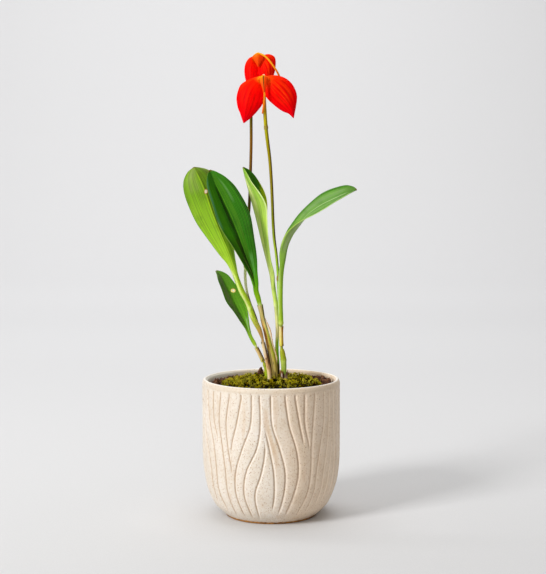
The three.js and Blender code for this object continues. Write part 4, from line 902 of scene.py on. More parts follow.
def leaf_finish(name, leaf):
    """Leaf skin: the colours of its two faces, its strips, long streaks, fine veins and cells."""
    material, tree, shader = finish(
        name, IOR=1.4, Specular_IOR_Level=0.12, Subsurface_Weight=0.06,
        Subsurface_Radius=(0.4, 1.0, 0.1), Subsurface_Scale=0.001,
    )
    u, t, face, lie = lie_of(tree)
    under = calc(tree, "SUBTRACT", 1.0, face)
    place = place_mm(tree)
    colour = blend(tree, face, ramp(tree, t, leaf["below"]), ramp(tree, t, leaf["above"]))
    streaks = grain(tree, scaled(tree, lie, (17, 2.4, 7)), 1.0, 4)
    patchy = grain(tree, scaled(tree, lie, (5, 9, 3)), 1.0, 3)
    uneven = level(tree, patchy, 0.3, 0.6, 0.65, 1.0)
    for centre, half, start, end, code, strength, on_upper in leaf["strips"]:
        share = strip(tree, u, t, centre, half, start, end, 0.035)
        share = times(tree, share, face if on_upper else under, times(tree, uneven, strength))
        colour = blend(tree, share, colour, code)
    light, dark = (0.5, 0.66, 0.45, "d8ea70"), (0.48, 0.34, 0.42, "3f6a18")
    colour = streaked(tree, colour, streaks, light, dark)
    light, dark = (0.5, 0.75, 0.2, "c9dc58"), (0.5, 0.25, 0.22, "4a7a20")
    colour = streaked(tree, colour, grain(tree, place, 0.09, 3), light, dark)
    lines = {"Vector": scaled(tree, lie, (4.6, 0.05, 0)), "Scale": 1.0, "Distortion": 0.8}
    veins = add(tree, "TexWave", lines).outputs["Fac"]
    fine = times(tree, level(tree, veins, 0.8, 1.0, 0, 0.12), level(tree, t, 0.5, 0.6))
    colour = blend(tree, fine, colour, "cfe67c")
    freckles = spots(tree, place, 0.42, 0.2, 0.1, 0.5, rare=(0.86, 0.92), part=1)
    colour = blend(tree, freckles, colour, "6a5a1c")
    colour = blend(tree, level(tree, t, 0.99, 1.0, 0, 0.7), colour, "7a4f18")
    # A corky spot with a ragged edge.
    if "blemish" in leaf:
        away = away_from(tree, place, *leaf["blemish"])
        noise = add(tree, "TexNoise", {"Vector": place, "Scale": 0.6}).outputs["Color"]
        ragged = scaled(tree, noise, (0.9, 0, 0.9))
        away = add(tree, "VectorMath", {0: away, 1: ragged}, operation="ADD").outputs[0]
        ends = {0: away, 1: (0.45, 0, 0.45)}
        reach = add(tree, "VectorMath", ends, operation="DISTANCE").outputs["Value"]
        colour = blend(tree, level(tree, reach, 1.5, 1.1, 0, 0.9), colour, "c98a3c")
        colour = blend(tree, level(tree, reach, 1.05, 0.75), colour, "f6e4d4")
    # The pale rim that healed round a bite.
    if leaf.get("bitten"):
        away = away_from(tree, place, HOLE_CENTRE, HOLE_HALF)
        reach = add(tree, "VectorMath", {0: away}, operation="LENGTH").outputs["Value"]
        colour = blend(tree, level(tree, reach, 2.6, 2.1, 0, 0.85), colour, "b87a20")
        colour = blend(tree, level(tree, reach, 2.2, 1.9, 0, 0.95), colour, "fff09c")
    cells = add(tree, "TexVoronoi", {"Vector": place, "Scale": 3.2}).outputs["Distance"]
    height = calc(tree, "ADD", times(tree, cells, 0.35), times(tree, streaks, 1.2))
    height = calc(tree, "ADD", height, times(tree, veins, 0.5))
    rough = level(tree, grain(tree, place, 0.3, 3), 0.3, 0.7, 0.34, 0.5)
    dress(tree, shader, colour, rough, height, 0.06)
    return material


for name, leaf in LEAVES.items():
    body = leaf_shell(leaf, LEAF_JOINTS[name], leaf_hole if leaf.get("bitten") else None)
    make_piece(name + "_blade", [body], leaf_finish(name + "_skin", leaf), [name])

# ---- Dry sheaths ---------------------------------------------------------------------------------
# Each leaf's stem grew up through a papery bract, which has dried to a ribbed brown tube with a
# torn upper edge and a split down one side.
LOOSE_EDGE_COLOURS = [(0.0, "dcd090"), (0.4, "fbf4dc"), (0.8, "ecd8a8"), (1.0, "b8742c")]


def kind_of(tree):
    """Which of a piece's kinds of shell the surface belongs to."""
    return add(tree, "Attribute", {}, attribute_name="kind").outputs["Fac"]


def sheath_finish(name, look):
    """Dry bract: its colours up its left and right sides, long fibres, dark lines and spots."""
    material, tree, shader = finish(
        name, IOR=1.4, Specular_IOR_Level=0.15, Subsurface_Weight=0.05, Subsurface_Scale=0.0008,
    )
    turn, t, inner, lie = lie_of(tree)
    place = place_mm(tree)
    side = calc(tree, "COSINE", turn)
    fibre = grain(tree, scaled(tree, lie, (9, 1.6, 1)), 1.0, 5)
    left, right = ramp(tree, t, look["left"]), ramp(tree, t, look["right"])
    colour = blend(tree, level(tree, side, -0.35, 0.6), left, right)
    flap = kind_of(tree)
    loose = ramp(tree, level(tree, turn, -1, 1), LOOSE_EDGE_COLOURS)
    colour = blend(tree, flap, colour, loose)
    tube_only = calc(tree, "SUBTRACT", 1.0, flap)
    for across, half, start, end, code, strength in look["lines"]:
        share = strip(tree, side, t, across, half, start, end, 0.05)
        colour = blend(tree, times(tree, share, tube_only, strength), colour, code)
    light, dark = (0.5, 0.7, 0.5, "f4e8c0"), (0.46, 0.32, 0.6, "8a5a2c")
    colour = streaked(tree, colour, fibre, light, dark)
    mould = spots(tree, scaled(tree, place, (1, 1, 0.5)), 0.3, 0.24, 0.12, rare=(0.62, 0.7))
    colour = blend(tree, times(tree, mould, 0.8), colour, "3a1f10")
    colour = blend(tree, times(tree, inner, 0.6), colour, "3c2614")
    dress(tree, shader, colour, level(tree, fibre, 0.3, 0.7, 0.6, 0.85), fibre, 0.25)
    return material


def between(stem, low, high, count):
    """A stem's rows [x, y, z, radius] at even heights between two of them."""
    fine = rounded(stem, 8)
    heights = np.linspace(low, high, count)
    return np.column_stack([np.interp(heights, fine[:, 2], fine[:, k]) for k in (0, 1)]
                           + [heights, np.interp(heights, fine[:, 2], fine[:, 3])])


def torn_sheath(stem, low, high, split, gape, torn, flare, seed):
    """A thin ribbed tube round a stem, open along its split, with a torn upper edge."""
    count, sides = 60, 56
    rows = between(stem, low, high, count)
    tangent = unit(np.gradient(rows[:, :3], axis=0))
    side = unit(np.array([1.0, 0, 0]) - tangent * tangent[:, :1])
    other = np.cross(tangent, side)
    s = np.linspace(0, 1, count)[:, None]
    opening = gape * np.clip((s - 0.35) / 0.65, 0, 1) ** 1.5
    turn = split + opening / 2 + (2 * math.pi - opening) * np.linspace(0, 1, sides)[None, :]
    waves = np.sin(2 * turn + seed) * np.sin(5 * turn + 2 * seed)
    torn_away = torn * (0.5 + 0.5 * waves - 0.5 * scatter(seed, 3))
    torn_away = torn_away + 0.25 * torn * np.sin(13 * turn + seed)
    drop = np.clip(torn_away, 0, None) * s**3
    share = np.clip(s - drop / (high - low), 0, 1)
    at = [np.interp(share, s[:, 0], column) for column in (*rows.T, *side.T, *other.T)]
    centre = np.dstack(at[0:3])
    ribs = 0.07 * np.sin(17 * turn + seed) + 0.05 * np.sin(29 * turn + 4 * s)
    out = at[3] * 1.04 + 0.34 + flare * s**5 + 0.12 * np.sin(3 * turn + 5 * s + seed) * s
    first, second = np.dstack(at[4:7]), np.dstack(at[7:10])
    direction = np.cos(turn)[..., None] * first + np.sin(turn)[..., None] * second
    wall = 0.42 - 0.25 * s**2 * np.ones_like(turn)
    outside = centre + direction * (out + wall + ribs)[..., None]
    inside = centre + direction * (out + 0.3 * ribs)[..., None]
    faces = two_skins(np.array(quads(count, sides)), count * sides)
    lie = [np.dstack(np.broadcast_arrays(turn, s, float(k))) for k in (0, 1)]
    points = np.vstack([outside.reshape(-1, 3), inside.reshape(-1, 3)])
    return shell(points, faces, np.vstack([p.reshape(-1, 3) for p in lie]))


def loose_edge(stem, low, high, seed):
    """The free edge of a split bract: a narrow papery strip that stands off the tube, frayed."""
    count = 14
    rows = between(stem, low, high, count)
    s = np.linspace(0, 1, count)
    width = (0.5 + 2.1 * np.sin(math.pi * s) ** 0.7) * (1 + 0.3 * np.sin(9 * s + seed))
    centre = rows[:, :3] + (rows[:, 3] * 0.86 + 0.5)[:, None] * np.array([1.0, -0.35, 0])
    out = np.array([0.96, -0.28, 0.1])
    reach = out * width[:, None]
    halves = np.full((count, 2), [0.11, 0.06])
    sheet = np.hstack([centre, centre + reach / 2 + [0, 0.25, 0], centre + reach, halves])
    fine = rounded(sheet, 5)
    step = np.arange(len(fine))
    fray = 0.45 * np.sin(step * 2.2 + seed) * scatter(step, seed)
    fine[:, 6:9] += out * fray[:, None]
    return blade_shell(fine, np.linspace(0, 1, len(fine)), kind=1.0, columns=9)


# Each bract: its leaf, its lowest and highest level, the direction of its split and how far that
# gapes, the depth of its tears, and how far its top stands off. Then its colours up its left and
# right sides, and its lines: how far across from left (-1) to right (1), half its width, where it
# starts and ends, and its colour and strength. loose gives the levels between which its free edge
# stands off.
SHEATHS = {
    "sheath_a": {
        "form": ("leaf_a", 116.5, 152.5, 0.2, 1.6, 5.0, 0.5),
        "left": [(0, "fff0c0"), (0.3, "fbd49c"), (0.5, "dcae74"), (0.72, "f8e0b8"), (1, "f0d498")],
        "right": [(0, "f0d0a0"), (0.35, "cc9a64"), (0.6, "94602e"), (0.9, "402610"), (1, "6a4424")],
        "lines": [(0.6, 0.25, 0.4, 0.95, "1e1008", 0.9), (-0.3, 0.25, 0.28, 0.42, "8a5024", 0.7)],
    },
    "sheath_b": {
        "form": ("leaf_b", 116.5, 183, -0.5, 1.3, 3.0, 0.2),
        "left": [
            (0, "d0c450"), (0.12, "f4e08c"), (0.35, "f8e08c"), (0.46, "e8b860"), (0.6, "c07c38"),
            (0.72, "fcc070"), (0.79, "d8b468"), (0.86, "c8b870"), (1, "ccc088"),
        ],
        "right": [
            (0, "c8bc44"), (0.1, "e0c870"), (0.2, "dcbc60"), (0.3, "e0cc48"), (0.55, "e4e054"),
            (0.74, "f0ec88"), (0.82, "d4c47c"), (0.92, "ccac68"), (1, "c89a5c"),
        ],
        "lines": [
            (-0.3, 0.18, 0.42, 0.74, "5a3014", 0.8), (0.78, 0.3, 0.86, 0.93, "2a160a", 0.9),
            (-0.6, 0.4, 0.79, 0.835, "3a1c0c", 0.95), (0.4, 0.3, 0.28, 0.74, "c4d448", 0.7),
            (0.1, 0.3, 0.2, 0.27, "3c3412", 0.6), (0.75, 0.2, 0.1, 0.6, "8a8420", 0.6),
            (-0.9, 0.3, 0.04, 0.44, "24140a", 0.95), (0.3, 0.35, -0.1, 0.14, "4a3c14", 0.8),
            (-0.3, 0.1, 0.06, 0.4, "a07838", 0.7),
        ],
        "loose": (131, 172),
    },
    "sheath_d": {
        "form": ("leaf_d", 147, 164.5, 2.8, 0.9, 2.4, 0.2),
        "left": [(0, "e4d850"), (0.4, "f4e484"), (1, "fcecb0")],
        "right": [(0, "a8801c"), (0.3, "d0a828"), (0.7, "d09c20"), (1, "b87818")],
        "lines": [(0.75, 0.5, -0.1, 0.12, "4f2c08", 0.9), (0.9, 0.25, 0.2, 0.95, "8a5410", 0.7)],
    },
    "sheath_d_base": {
        "form": ("leaf_d", 116.5, 126.5, -1.2, 1.4, 3.2, 0.6),
        "left": [(0, "b49678"), (0.5, "6a442c"), (1, "a47048")],
        "right": [(0, "e9dcd0"), (0.5, "a08070"), (1, "6f4a34")],
        "lines": [(-0.1, 0.3, 0.2, 0.9, "1c1009", 0.9), (-0.6, 0.2, 0.1, 0.8, "ecdcd0", 0.8)],
    },
    "sheath_e": {
        "form": ("leaf_e", 133, 145.5, 0.4, 1.0, 2.6, 0.3),
        "left": [(0, "ccc448"), (0.35, "e8d088"), (0.8, "ecc88c"), (1, "f0dc80")],
        "right": [(0, "a8a434"), (0.4, "98803c"), (1, "7a5624")],
        "lines": [(0.85, 0.3, 0.05, 1.1, "2c1608", 0.95), (-0.2, 0.2, 0.2, 0.7, "9a7450", 0.5)],
    },
}
for seed, (name, look) in enumerate(SHEATHS.items()):
    owner, low, high, split, gape, torn, flare = look["form"]
    stem = LEAVES[owner]["stem"]
    shells = [torn_sheath(stem, low, high, split, gape, torn, flare, seed + 1.0)]
    if "loose" in look:
        shells.append(loose_edge(stem, *look["loose"], seed))
    make_piece(name + "_bract", shells, sheath_finish(name + "_paper", look), [name])

# ---- Flower stalks -------------------------------------------------------------------------------
# Each flower stands on its own slim wiry stalk, which rises from beside a leaf's stem. Its joints
# have small clasping bracts. Rows are [x, y, z, radius].
STALKS = {
    "scape_front": [
        [7.5, 3.9, 167, 1.3], [7, 4, 181.5, 1.3], [6.5, 3.9, 195.5, 1.2], [5.7, 3.4, 212, 1.2],
        [4.5, 2, 225.5, 1.2], [2.6, 0, 240.5, 1.3], [1.6, -1, 256, 1.3], [1, -2, 272.5, 1.3],
        [0.1, -3, 291, 1.35], [-1.2, -4, 308.5, 1.4], [-2.9, -4.6, 322, 1.5], [-4.4, -5, 335, 1.55],
        [-5.4, -5.6, 349.5, 1.55], [-5.9, -5.6, 360, 1.5], [-6, -4.4, 366.5, 1.4],
        [-6, -3.2, 370.5, 1.35],
    ],
    "scape_back": [
        [-9.3, 1, 158, 1], [-11.2, 1.4, 164, 1.1], [-13, 1.3, 170.5, 1.1], [-15.6, 1.6, 177.5, 1.1],
        [-18.4, 3, 184.5, 1.1], [-20.6, 5, 192, 1.1], [-22.3, 7, 202, 1.2], [-22.5, 9, 213.5, 1.2],
        [-21.4, 12, 234, 1.2], [-19.6, 15, 260, 1.3], [-18.5, 17, 280, 1.3], [-17.9, 18, 300, 1.3],
        [-17.4, 18.3, 322, 1.3], [-17.4, 18.6, 344, 1.3], [-17.3, 19, 363.5, 1.3],
        [-16.2, 19.5, 381, 1.3], [-14.7, 20, 390.5, 1.3],
    ],
}
# Colours from the stalk's foot (0) to the flower (1), with painted shade darkening the right side,
# and the heights of its joints.
STALK_LOOKS = {
    "scape_front": {
        "left": [
            (0.0, "9fc83c"), (0.2, "a4cc44"), (0.3, "a4bc34"), (0.36, "8a9a24"), (0.45, "83801a"),
            (0.55, "96841e"), (0.65, "9c9010"), (0.73, "b0ac14"), (0.79, "c0ac1c"),
            (0.84, "dca43c"), (0.92, "ec8c2a"),
        ],
        "right": [
            (0.0, "6aa028"), (0.2, "6f9a24"), (0.26, "5a5a10"), (0.34, "3c2f0c"), (0.45, "46380e"),
            (0.55, "5f4c12"), (0.65, "6c5c10"), (0.73, "8a8412"), (0.79, "a89a20"),
            (0.84, "c08a34"), (0.92, "d9822a"),
        ],
        "joints": [205, 335],
    },
    "scape_back": {
        # The pale stops from 0.33 to 0.46 are painted light where the leaves' shadow falls.
        "left": [
            (0.22, "5f4a1c"), (0.29, "8a7a3c"), (0.33, "fffcd0"), (0.4, "f8fcc8"), (0.46, "c8d490"),
            (0.5, "8a8c44"), (0.56, "6a5a34"), (0.65, "6f4f20"), (0.75, "86601e"), (0.81, "5c5a10"),
            (0.87, "4c5a06"), (0.95, "7a6a2a"),
        ],
        "right": [
            (0.22, "3a240c"), (0.29, "6a5a24"), (0.33, "f0ecc0"), (0.4, "dce0a4"), (0.46, "a4b064"),
            (0.5, "5c4a1c"), (0.56, "3a280c"), (0.65, "59390c"), (0.75, "7c4c10"), (0.81, "4a400a"),
            (0.87, "3c4404"), (0.95, "6a5a20"),
        ],
        "joints": [216, 285],
    },
}


def tube(rows, sides, lie_t=None, kind=0.0):
    """A closed tube round [x, y, z, radius] rows, without twist, its ends drawn in round."""
    rows = np.asarray(rows, float)
    t = np.linspace(0, 1, len(rows)) if lie_t is None else lie_t
    tangent = unit(np.gradient(rows[:, :3], axis=0))
    side, sides_along = np.array([1.0, 0.02, 0.03]), []
    for direction in tangent:
        side = unit(side - direction * side.dot(direction))
        sides_along.append(side)
    across = np.array(sides_along)
    other = np.cross(tangent, across)
    centre, radius = rows[:, :3], rows[:, 3]
    caps = [(0, -0.75, 0.62), (0, -0.35, 0.9)], [(-1, 0.35, 0.9), (-1, 0.75, 0.62)]
    order = [*caps[0], *((k, 0, 1) for k in range(len(rows))), *caps[1]]
    turn = np.linspace(0, 2 * math.pi, sides, endpoint=False)
    rings, lies = [], []
    for k, shift, size in order:
        spoke = np.cos(turn)[:, None] * across[k] + np.sin(turn)[:, None] * other[k]
        rings.append(centre[k] + tangent[k] * shift * radius[k] + spoke * radius[k] * size)
        lies.append(np.column_stack([turn, np.full_like(turn, t[k]), turn * 0]))
    return lofted(np.array(rings), np.array(lies), kind)


def stalk_finish(name, look):
    """Wiry stalk skin: the colours up its left and right sides, fine lines, and freckles."""
    material, tree, shader = finish(name, IOR=1.4, Specular_IOR_Level=0.05)
    turn, t, _, lie = lie_of(tree)
    place = place_mm(tree)
    # The darker right ramp is painted shade.
    side = level(tree, calc(tree, "COSINE", turn), -0.15, 0.55)
    colour = blend(tree, side, ramp(tree, t, look["left"]), ramp(tree, t, look["right"]))
    lines = grain(tree, scaled(tree, lie, (3.5, 16, 1)), 1.0, 4)
    light, dark = (0.5, 0.7, 0.35, "c7b920"), (0.48, 0.3, 0.45, "4a2c14")
    colour = streaked(tree, colour, lines, light, dark)
    freckles = spots(tree, scaled(tree, place, (1, 1, 0.4)), 1.3, 0.22, 0.1, 0.55)
    colour = blend(tree, freckles, colour, "3f2410")
    colour = blend(tree, times(tree, kind_of(tree), 0.8), colour, "9a7a3e")
    dress(tree, shader, colour, level(tree, lines, 0.3, 0.7, 0.38, 0.55), lines, 0.08)
    return material


def clasping_bract(rows, height, seed):
    """A small pointed bract that wraps a joint of the stalk."""
    steps, sides = 14, 16
    low = between(rows, height - 1.0, height + 5.5, steps)
    s = np.linspace(0, 1, steps)
    low[:, 3] += 0.32 * np.exp(-((s - 0.18) / 0.28) ** 2) + 0.05
    turn = np.linspace(0, 2 * math.pi, sides, endpoint=False)
    skin = tube(low, sides, s, kind=1.0)
    lean = 0.5 * (1 + np.cos(turn + seed))
    rings = skin["points"][:-2].reshape(-1, sides, 3)
    share = np.linspace(0, 1, len(rings))[:, None]
    middle = rings.mean(1, keepdims=True)
    shrink = 1 - 0.3 * np.clip((share - 0.25) / 0.5, 0, 1) * lean[None, :]
    skin["points"][:-2] = (middle + (rings - middle) * shrink[..., None]).reshape(-1, 3)
    return skin


for seed, (name, rows) in enumerate(STALKS.items()):
    look = STALK_LOOKS[name]
    fine = rounded(rows, 10)
    for joint in look["joints"]:
        fine[:, 3] += 0.14 * np.exp(-((fine[:, 2] - joint) / 1.4) ** 2)
    shells = [tube(fine, 16)]
    shells += [clasping_bract(rows, joint, seed + joint) for joint in look["joints"]]
    make_piece(name + "_stalk", shells, stalk_finish(name + "_skin", look), [name])

# ---- Flowers -------------------------------------------------------------------------------------
# Three sepals of waxy tissue, grown together into a short tube: two broad scarlet ones hang in front,
# and the narrow orange one behind folds over the mouth into a long tail. The pale column, petals
# and lip sit in the tube, and a pale bent ovary joins it to the stalk.
SEPAL_VEINS = (-0.66, -0.34, 0.0, 0.34, 0.66)
SEPAL_STEPS = 12
# Half the thickness of a sepal, of its margin, and of both at its tip.
SEPAL_HALF = 0.42
SEPAL_MARGIN = 0.22
SEPAL_TIP = (0.2, 0.15)
# Each flower: rows [x, y, z, radius] of its ovary and its tail, the two ends of its tube, the rows
# [left, middle, right] and tip of its two broad sepals, the rows of its narrow one, and how dark
# that one's middle line is.
FLOWERS = {
    "front": {
        "ovary": [
            [-6, -3, 371.1, 1.2], [-6.1, -2.1, 374.5, 1.4], [-6.2, -2.4, 377, 1.4],
            [-6.3, -3.6, 378.6, 1.3], [-6.35, -4.9, 378.7, 1.3], [-6.4, -5.9, 377.9, 1.3],
        ],
        "tube": [[-6.4, -6.2, 377.6], [-6.7, -11.4, 373.6]],
        "sepals": [
            [
                [[-9, -9.8, 378.2], [-10, -11, 374.4], [-5.6, -9.4, 370.6]],
                [[-17.8, -10.4, 375.6], [-13, -12.8, 371.6], [-5.4, -11.4, 367.8]],
                [[-25.3, -10, 371.3], [-16.3, -14.5, 366.5], [-5.3, -12.9, 363.8]],
                [[-28.2, -10, 365.5], [-18.3, -15, 361], [-6, -13.2, 359.3]],
                [[-29.2, -10, 359], [-20, -15.3, 355.3], [-7.6, -12.8, 354]],
                [[-28.2, -10.5, 351.5], [-21.2, -14.8, 349.3], [-11.8, -12.4, 348.3]],
                [[-26, -11.4, 346], [-22.2, -13.8, 344.3], [-17.2, -12, 343]],
                [-23.2, -11.5, 338.6],
            ],
            [
                [[-4.2, -9.6, 378], [-2.6, -11, 374.4], [-6.1, -9.4, 370.6]],
                [[2.6, -9.8, 379], [0.6, -12.8, 372.3], [-5.9, -11.4, 366.8]],
                [[8.8, -9.6, 377.8], [4.5, -14.3, 368.4], [-5, -12.9, 361.8]],
                [[14.5, -9.5, 374.7], [8.4, -14.9, 364], [-1.2, -13.2, 356.8]],
                [[19, -9.6, 369.8], [12.6, -15.3, 359], [5.4, -12.9, 351.3]],
                [[21.7, -10, 362.5], [15.8, -14.8, 354], [10.5, -12.4, 348.2]],
                [[21.2, -11, 354], [17.8, -13.8, 349.3], [14.8, -12, 346.3]],
                [19, -11.6, 342.8],
            ],
        ],
        "dorsal": [
            [[-10.2, -13.4, 376.6], [-6.6, -14.6, 377.9], [-2.8, -13.4, 376.8]],
            [[-9.4, -15.8, 373.2], [-6.5, -16.8, 373.6], [-3.5, -15.8, 373.2]],
            [[-7.9, -17.2, 369], [-6.1, -17.8, 369], [-4.3, -17.2, 369]],
            [[-6.9, -17.6, 365], [-5.7, -18, 365], [-4.6, -17.6, 365]],
            [[-6.2, -17.5, 361.5], [-5.5, -17.7, 361.5], [-4.9, -17.5, 361.5]],
        ],
        "tail": [
            [-5.6, -17.8, 364, 0.7], [-5.5, -17.5, 360, 0.9], [-5.9, -17, 355.5, 0.95],
            [-6.5, -16.2, 351, 0.85], [-7.3, -15.6, 346.8, 0.6],
        ],
        "tail_colours": [(0.0, "f4901c"), (0.3, "dc8a24"), (0.55, "f08418"), (1.0, "e46c18")],
        "midline": 0.85,
    },
    "back": {
        "ovary": [
            [-14.4, 20.1, 391.2, 1.2], [-13.4, 20.3, 394.6, 1.4], [-12.5, 19.4, 397.6, 1.4],
            [-12, 18, 398.9, 1.3], [-11.7, 16.6, 398.9, 1.3], [-11.5, 15.7, 398.2, 1.3],
        ],
        "tube": [[-11.4, 15.4, 397.9], [-11.1, 10.2, 393.8]],
        "sepals": [
            [
                [[-14.6, 9.2, 396.6], [-15.3, 10.4, 394], [-10.8, 12, 391.2]],
                [[-19.3, 10.5, 394.2], [-16.6, 8.6, 389.4], [-10.7, 9.6, 386.2]],
                [[-22.5, 11.4, 389], [-17.4, 6.8, 383], [-10.4, 7.4, 379.8]],
                [[-22.8, 12, 381.5], [-17.6, 6.3, 376.8], [-10.8, 7.2, 373.6]],
                [[-21.5, 12, 373.5], [-17.7, 7.2, 370], [-12.8, 8.2, 367.4]],
                [-18, 9.4, 361],
            ],
            [
                [[-7.6, 9.2, 396.8], [-6.9, 10.4, 394], [-11.3, 12, 391.2]],
                [[-2, 9.8, 398], [-5.6, 8.4, 390.6], [-11.3, 9.6, 386.2]],
                [[3.2, 11, 395], [-3.4, 6.8, 385], [-11, 7.4, 379.8]],
                [[3.8, 12, 386.5], [-2.8, 6.3, 377.6], [-9.6, 7.2, 373.6]],
                [[1.2, 12, 377.6], [-3.4, 7.2, 370.6], [-7.9, 8.2, 367.4]],
                [-4, 9.4, 361.6],
            ],
        ],
        "dorsal": [
            [[-14.6, 7.8, 397.2], [-11.2, 6.4, 399], [-7.6, 7.8, 397.4]],
            [[-16.2, 8, 395.2], [-11.2, 5.8, 395.2], [-6.2, 7.8, 394.6]],
            [[-13.8, 7.4, 391.2], [-11.1, 6.2, 391], [-8.4, 7.4, 391]],
            [[-11.6, 7.5, 387.3], [-11, 7.1, 386.9], [-10.4, 7.5, 387.2]],
        ],
        "tail": [
            [-10.8, 6.3, 398.4, 0.7], [-7.4, 3.8, 397, 0.75], [-3.2, 2.8, 393.8, 0.75],
            [1.4, 1.4, 388, 0.75], [5, 0.6, 382.5, 0.8], [6.9, 0.6, 378.4, 0.8],
            [8.2, 1.4, 373, 0.6],
        ],
        "tail_colours": [
            (0.0, "fb9a14"), (0.3, "fbac24"), (0.5, "f49a1c"), (0.7, "d47416"), (1.0, "a84c14"),
        ],
        "midline": 0.15,
    },
}


def sepal_relief(u, t, off):
    """Five shallow channels over the veins, closing towards the tip, and a slight ripple."""
    channels = sum(np.exp(-((u - v) / 0.075) ** 2) for v in SEPAL_VEINS)
    fade = np.clip(t / 0.15, 0, 1) * np.clip((1 - t) / 0.12, 0, 1)
    ripple = 0.16 * np.sin(15 * t + 4 * u) * u**2 * fade
    return -0.15 * channels * fade + ripple, 0.1 * channels * fade - ripple


def sepal_shell(rows, kind):
    """One broad sepal through its rows, the last of which is its tip."""
    halves = [(SEPAL_HALF, SEPAL_MARGIN)] * (len(rows) - 1) + [SEPAL_TIP]
    fine = rounded(blade_rows(rows[:-1], np.array(rows[-1], float), halves, 0.5), SEPAL_STEPS)
    return blade_shell(fine, np.linspace(0, 1, len(fine)), 1, sepal_relief, kind, columns=41)


def sepal_tube(base, mouth):
    """The short tube that the sepals grow from: a cup with a round rim, open in front."""
    base, mouth = np.array(base, float), np.array(mouth, float)
    outside = [(0, 2.1), (0.25, 3.0), (0.5, 3.5), (0.8, 4.0), (0.97, 4.28)]
    inside = [(1.02, 4.1), (1.0, 3.6), (0.8, 3.2), (0.5, 2.7), (0.14, 1.3)]
    fine = rounded(outside + inside, 4)
    axis = unit(mouth - base)
    side = unit(np.cross(axis, [0, 0, 1.0]))
    other = np.cross(axis, side)
    turn = np.linspace(0, 2 * math.pi, 36, endpoint=False)
    spokes = np.cos(turn)[:, None] * side + np.sin(turn)[:, None] * other
    rings = np.array([base + (mouth - base) * t + spokes * r for t, r in fine])
    share = np.linspace(0.02, 0.12, len(fine))
    sway = 0.3 * np.sin(3 * turn)
    lies = [np.column_stack([sway, np.full_like(turn, v), turn * 0]) for v in share]
    return lofted(rings, np.array(lies))


def scarlet():
    """Scarlet sepal: orange at the throat, dark veins that fade in and out, and crimson edges."""
    material, tree, shader = finish(
        "scarlet_sepal", IOR=1.35, Specular_IOR_Level=0.04, Subsurface_Weight=0.05,
        Subsurface_Radius=(1.0, 0.05, 0.02), Subsurface_Scale=0.0008,
    )
    u, t, _, lie = lie_of(tree)
    place = place_mm(tree)
    right = kind_of(tree)
    colour = ramp(tree, t, [
        (0.0, "ffb824"), (0.035, "fd9412"), (0.07, "fc5006"), (0.12, "fd1a00"), (0.3, "fd0202"),
        (0.8, "f40008"), (1.0, "e00018"),
    ])
    streaks = grain(tree, scaled(tree, lie, (10, 1.4, 0)), 1.0, 3)
    glow = times(tree, stretch(tree, t, 0.0, 0.8, 0.3), level(tree, streaks, 0.42, 0.66))
    glow = times(tree, glow, level(tree, right, 0.0, 1.0, 0.12, 0.48))
    colour = blend(tree, times(tree, glow, band(tree, u, -0.15, 0.8)), colour, "ff5208")
    # The right sepal's throat is painted a deeper red for the dorsal sepal's shadow there: painted
    # shade.
    throat = times(tree, right, level(tree, t, 0.22, 0.06, 0, 0.85))
    colour = blend(tree, throat, colour, "fb4208")
    upper = times(tree, band(tree, u, -0.85, 0.3), stretch(tree, t, -0.2, 0.5, 0.25))
    colour = blend(tree, times(tree, upper, 0.4), colour, "fc3a06")
    patchy = level(tree, grain(tree, scaled(tree, lie, (3, 5, 0)), 1.0, 2), 0.3, 0.65, 0.1, 0.65)
    for vein in SEPAL_VEINS:
        line = times(tree, band(tree, u, vein, 0.1), stretch(tree, t, 0.18, 0.97, 0.25))
        colour = blend(tree, times(tree, line, patchy), colour, "c00002")
    edge = times(tree, band(tree, u, 1.0, 0.3), level(tree, t, 0.3, 0.6, 0, 0.5))
    colour = blend(tree, edge, colour, "c80008")
    margin = level(tree, calc(tree, "ABSOLUTE", u), 0.8, 1.0, 0, 0.5)
    colour = blend(tree, times(tree, margin, level(tree, t, 0.5, 0.8)), colour, "f00030")
    cells = add(tree, "TexVoronoi", {"Vector": place, "Scale": 4.0}).outputs["Distance"]
    height = calc(tree, "ADD", times(tree, cells, 0.5), streaks)
    dress(tree, shader, colour, level(tree, streaks, 0.3, 0.7, 0.4, 0.55), height, 0.08)
    return material


def orange(name, tail_stops, dark_midline):
    """Orange dorsal sepal and its tail: warm edges and a darker line down the middle."""
    material, tree, shader = finish(
        name, IOR=1.35, Specular_IOR_Level=0.08, Subsurface_Weight=0.05,
        Subsurface_Radius=(1.0, 0.4, 0.05), Subsurface_Scale=0.0006,
    )
    u, t, _, lie = lie_of(tree)
    tail = kind_of(tree)
    body = ramp(tree, t, [
        (0.0, "ffb01c"), (0.12, "fc7a0a"), (0.35, "f85804"), (0.75, "f24804"), (1.0, "e43404"),
    ])
    side = calc(tree, "ABSOLUTE", u)
    body = blend(tree, level(tree, u, 0.0, 0.4, 0, 0.8), body, "f43004")
    body = blend(tree, level(tree, side, 0.24, 0.06, 0, dark_midline), body, "4a3c14")
    body = blend(tree, level(tree, side, 0.82, 1.0, 0, 0.7), body, "c81e06")
    colour = blend(tree, tail, body, ramp(tree, t, tail_stops))
    streaks = grain(tree, scaled(tree, lie, (6, 2, 0)), 1.0, 4)
    colour = blend(tree, level(tree, streaks, 0.5, 0.72, 0, 0.4), colour, "ffc04a", "OVERLAY")
    dress(tree, shader, colour, level(tree, streaks, 0.3, 0.7, 0.4, 0.55), streaks, 0.08)
    return material


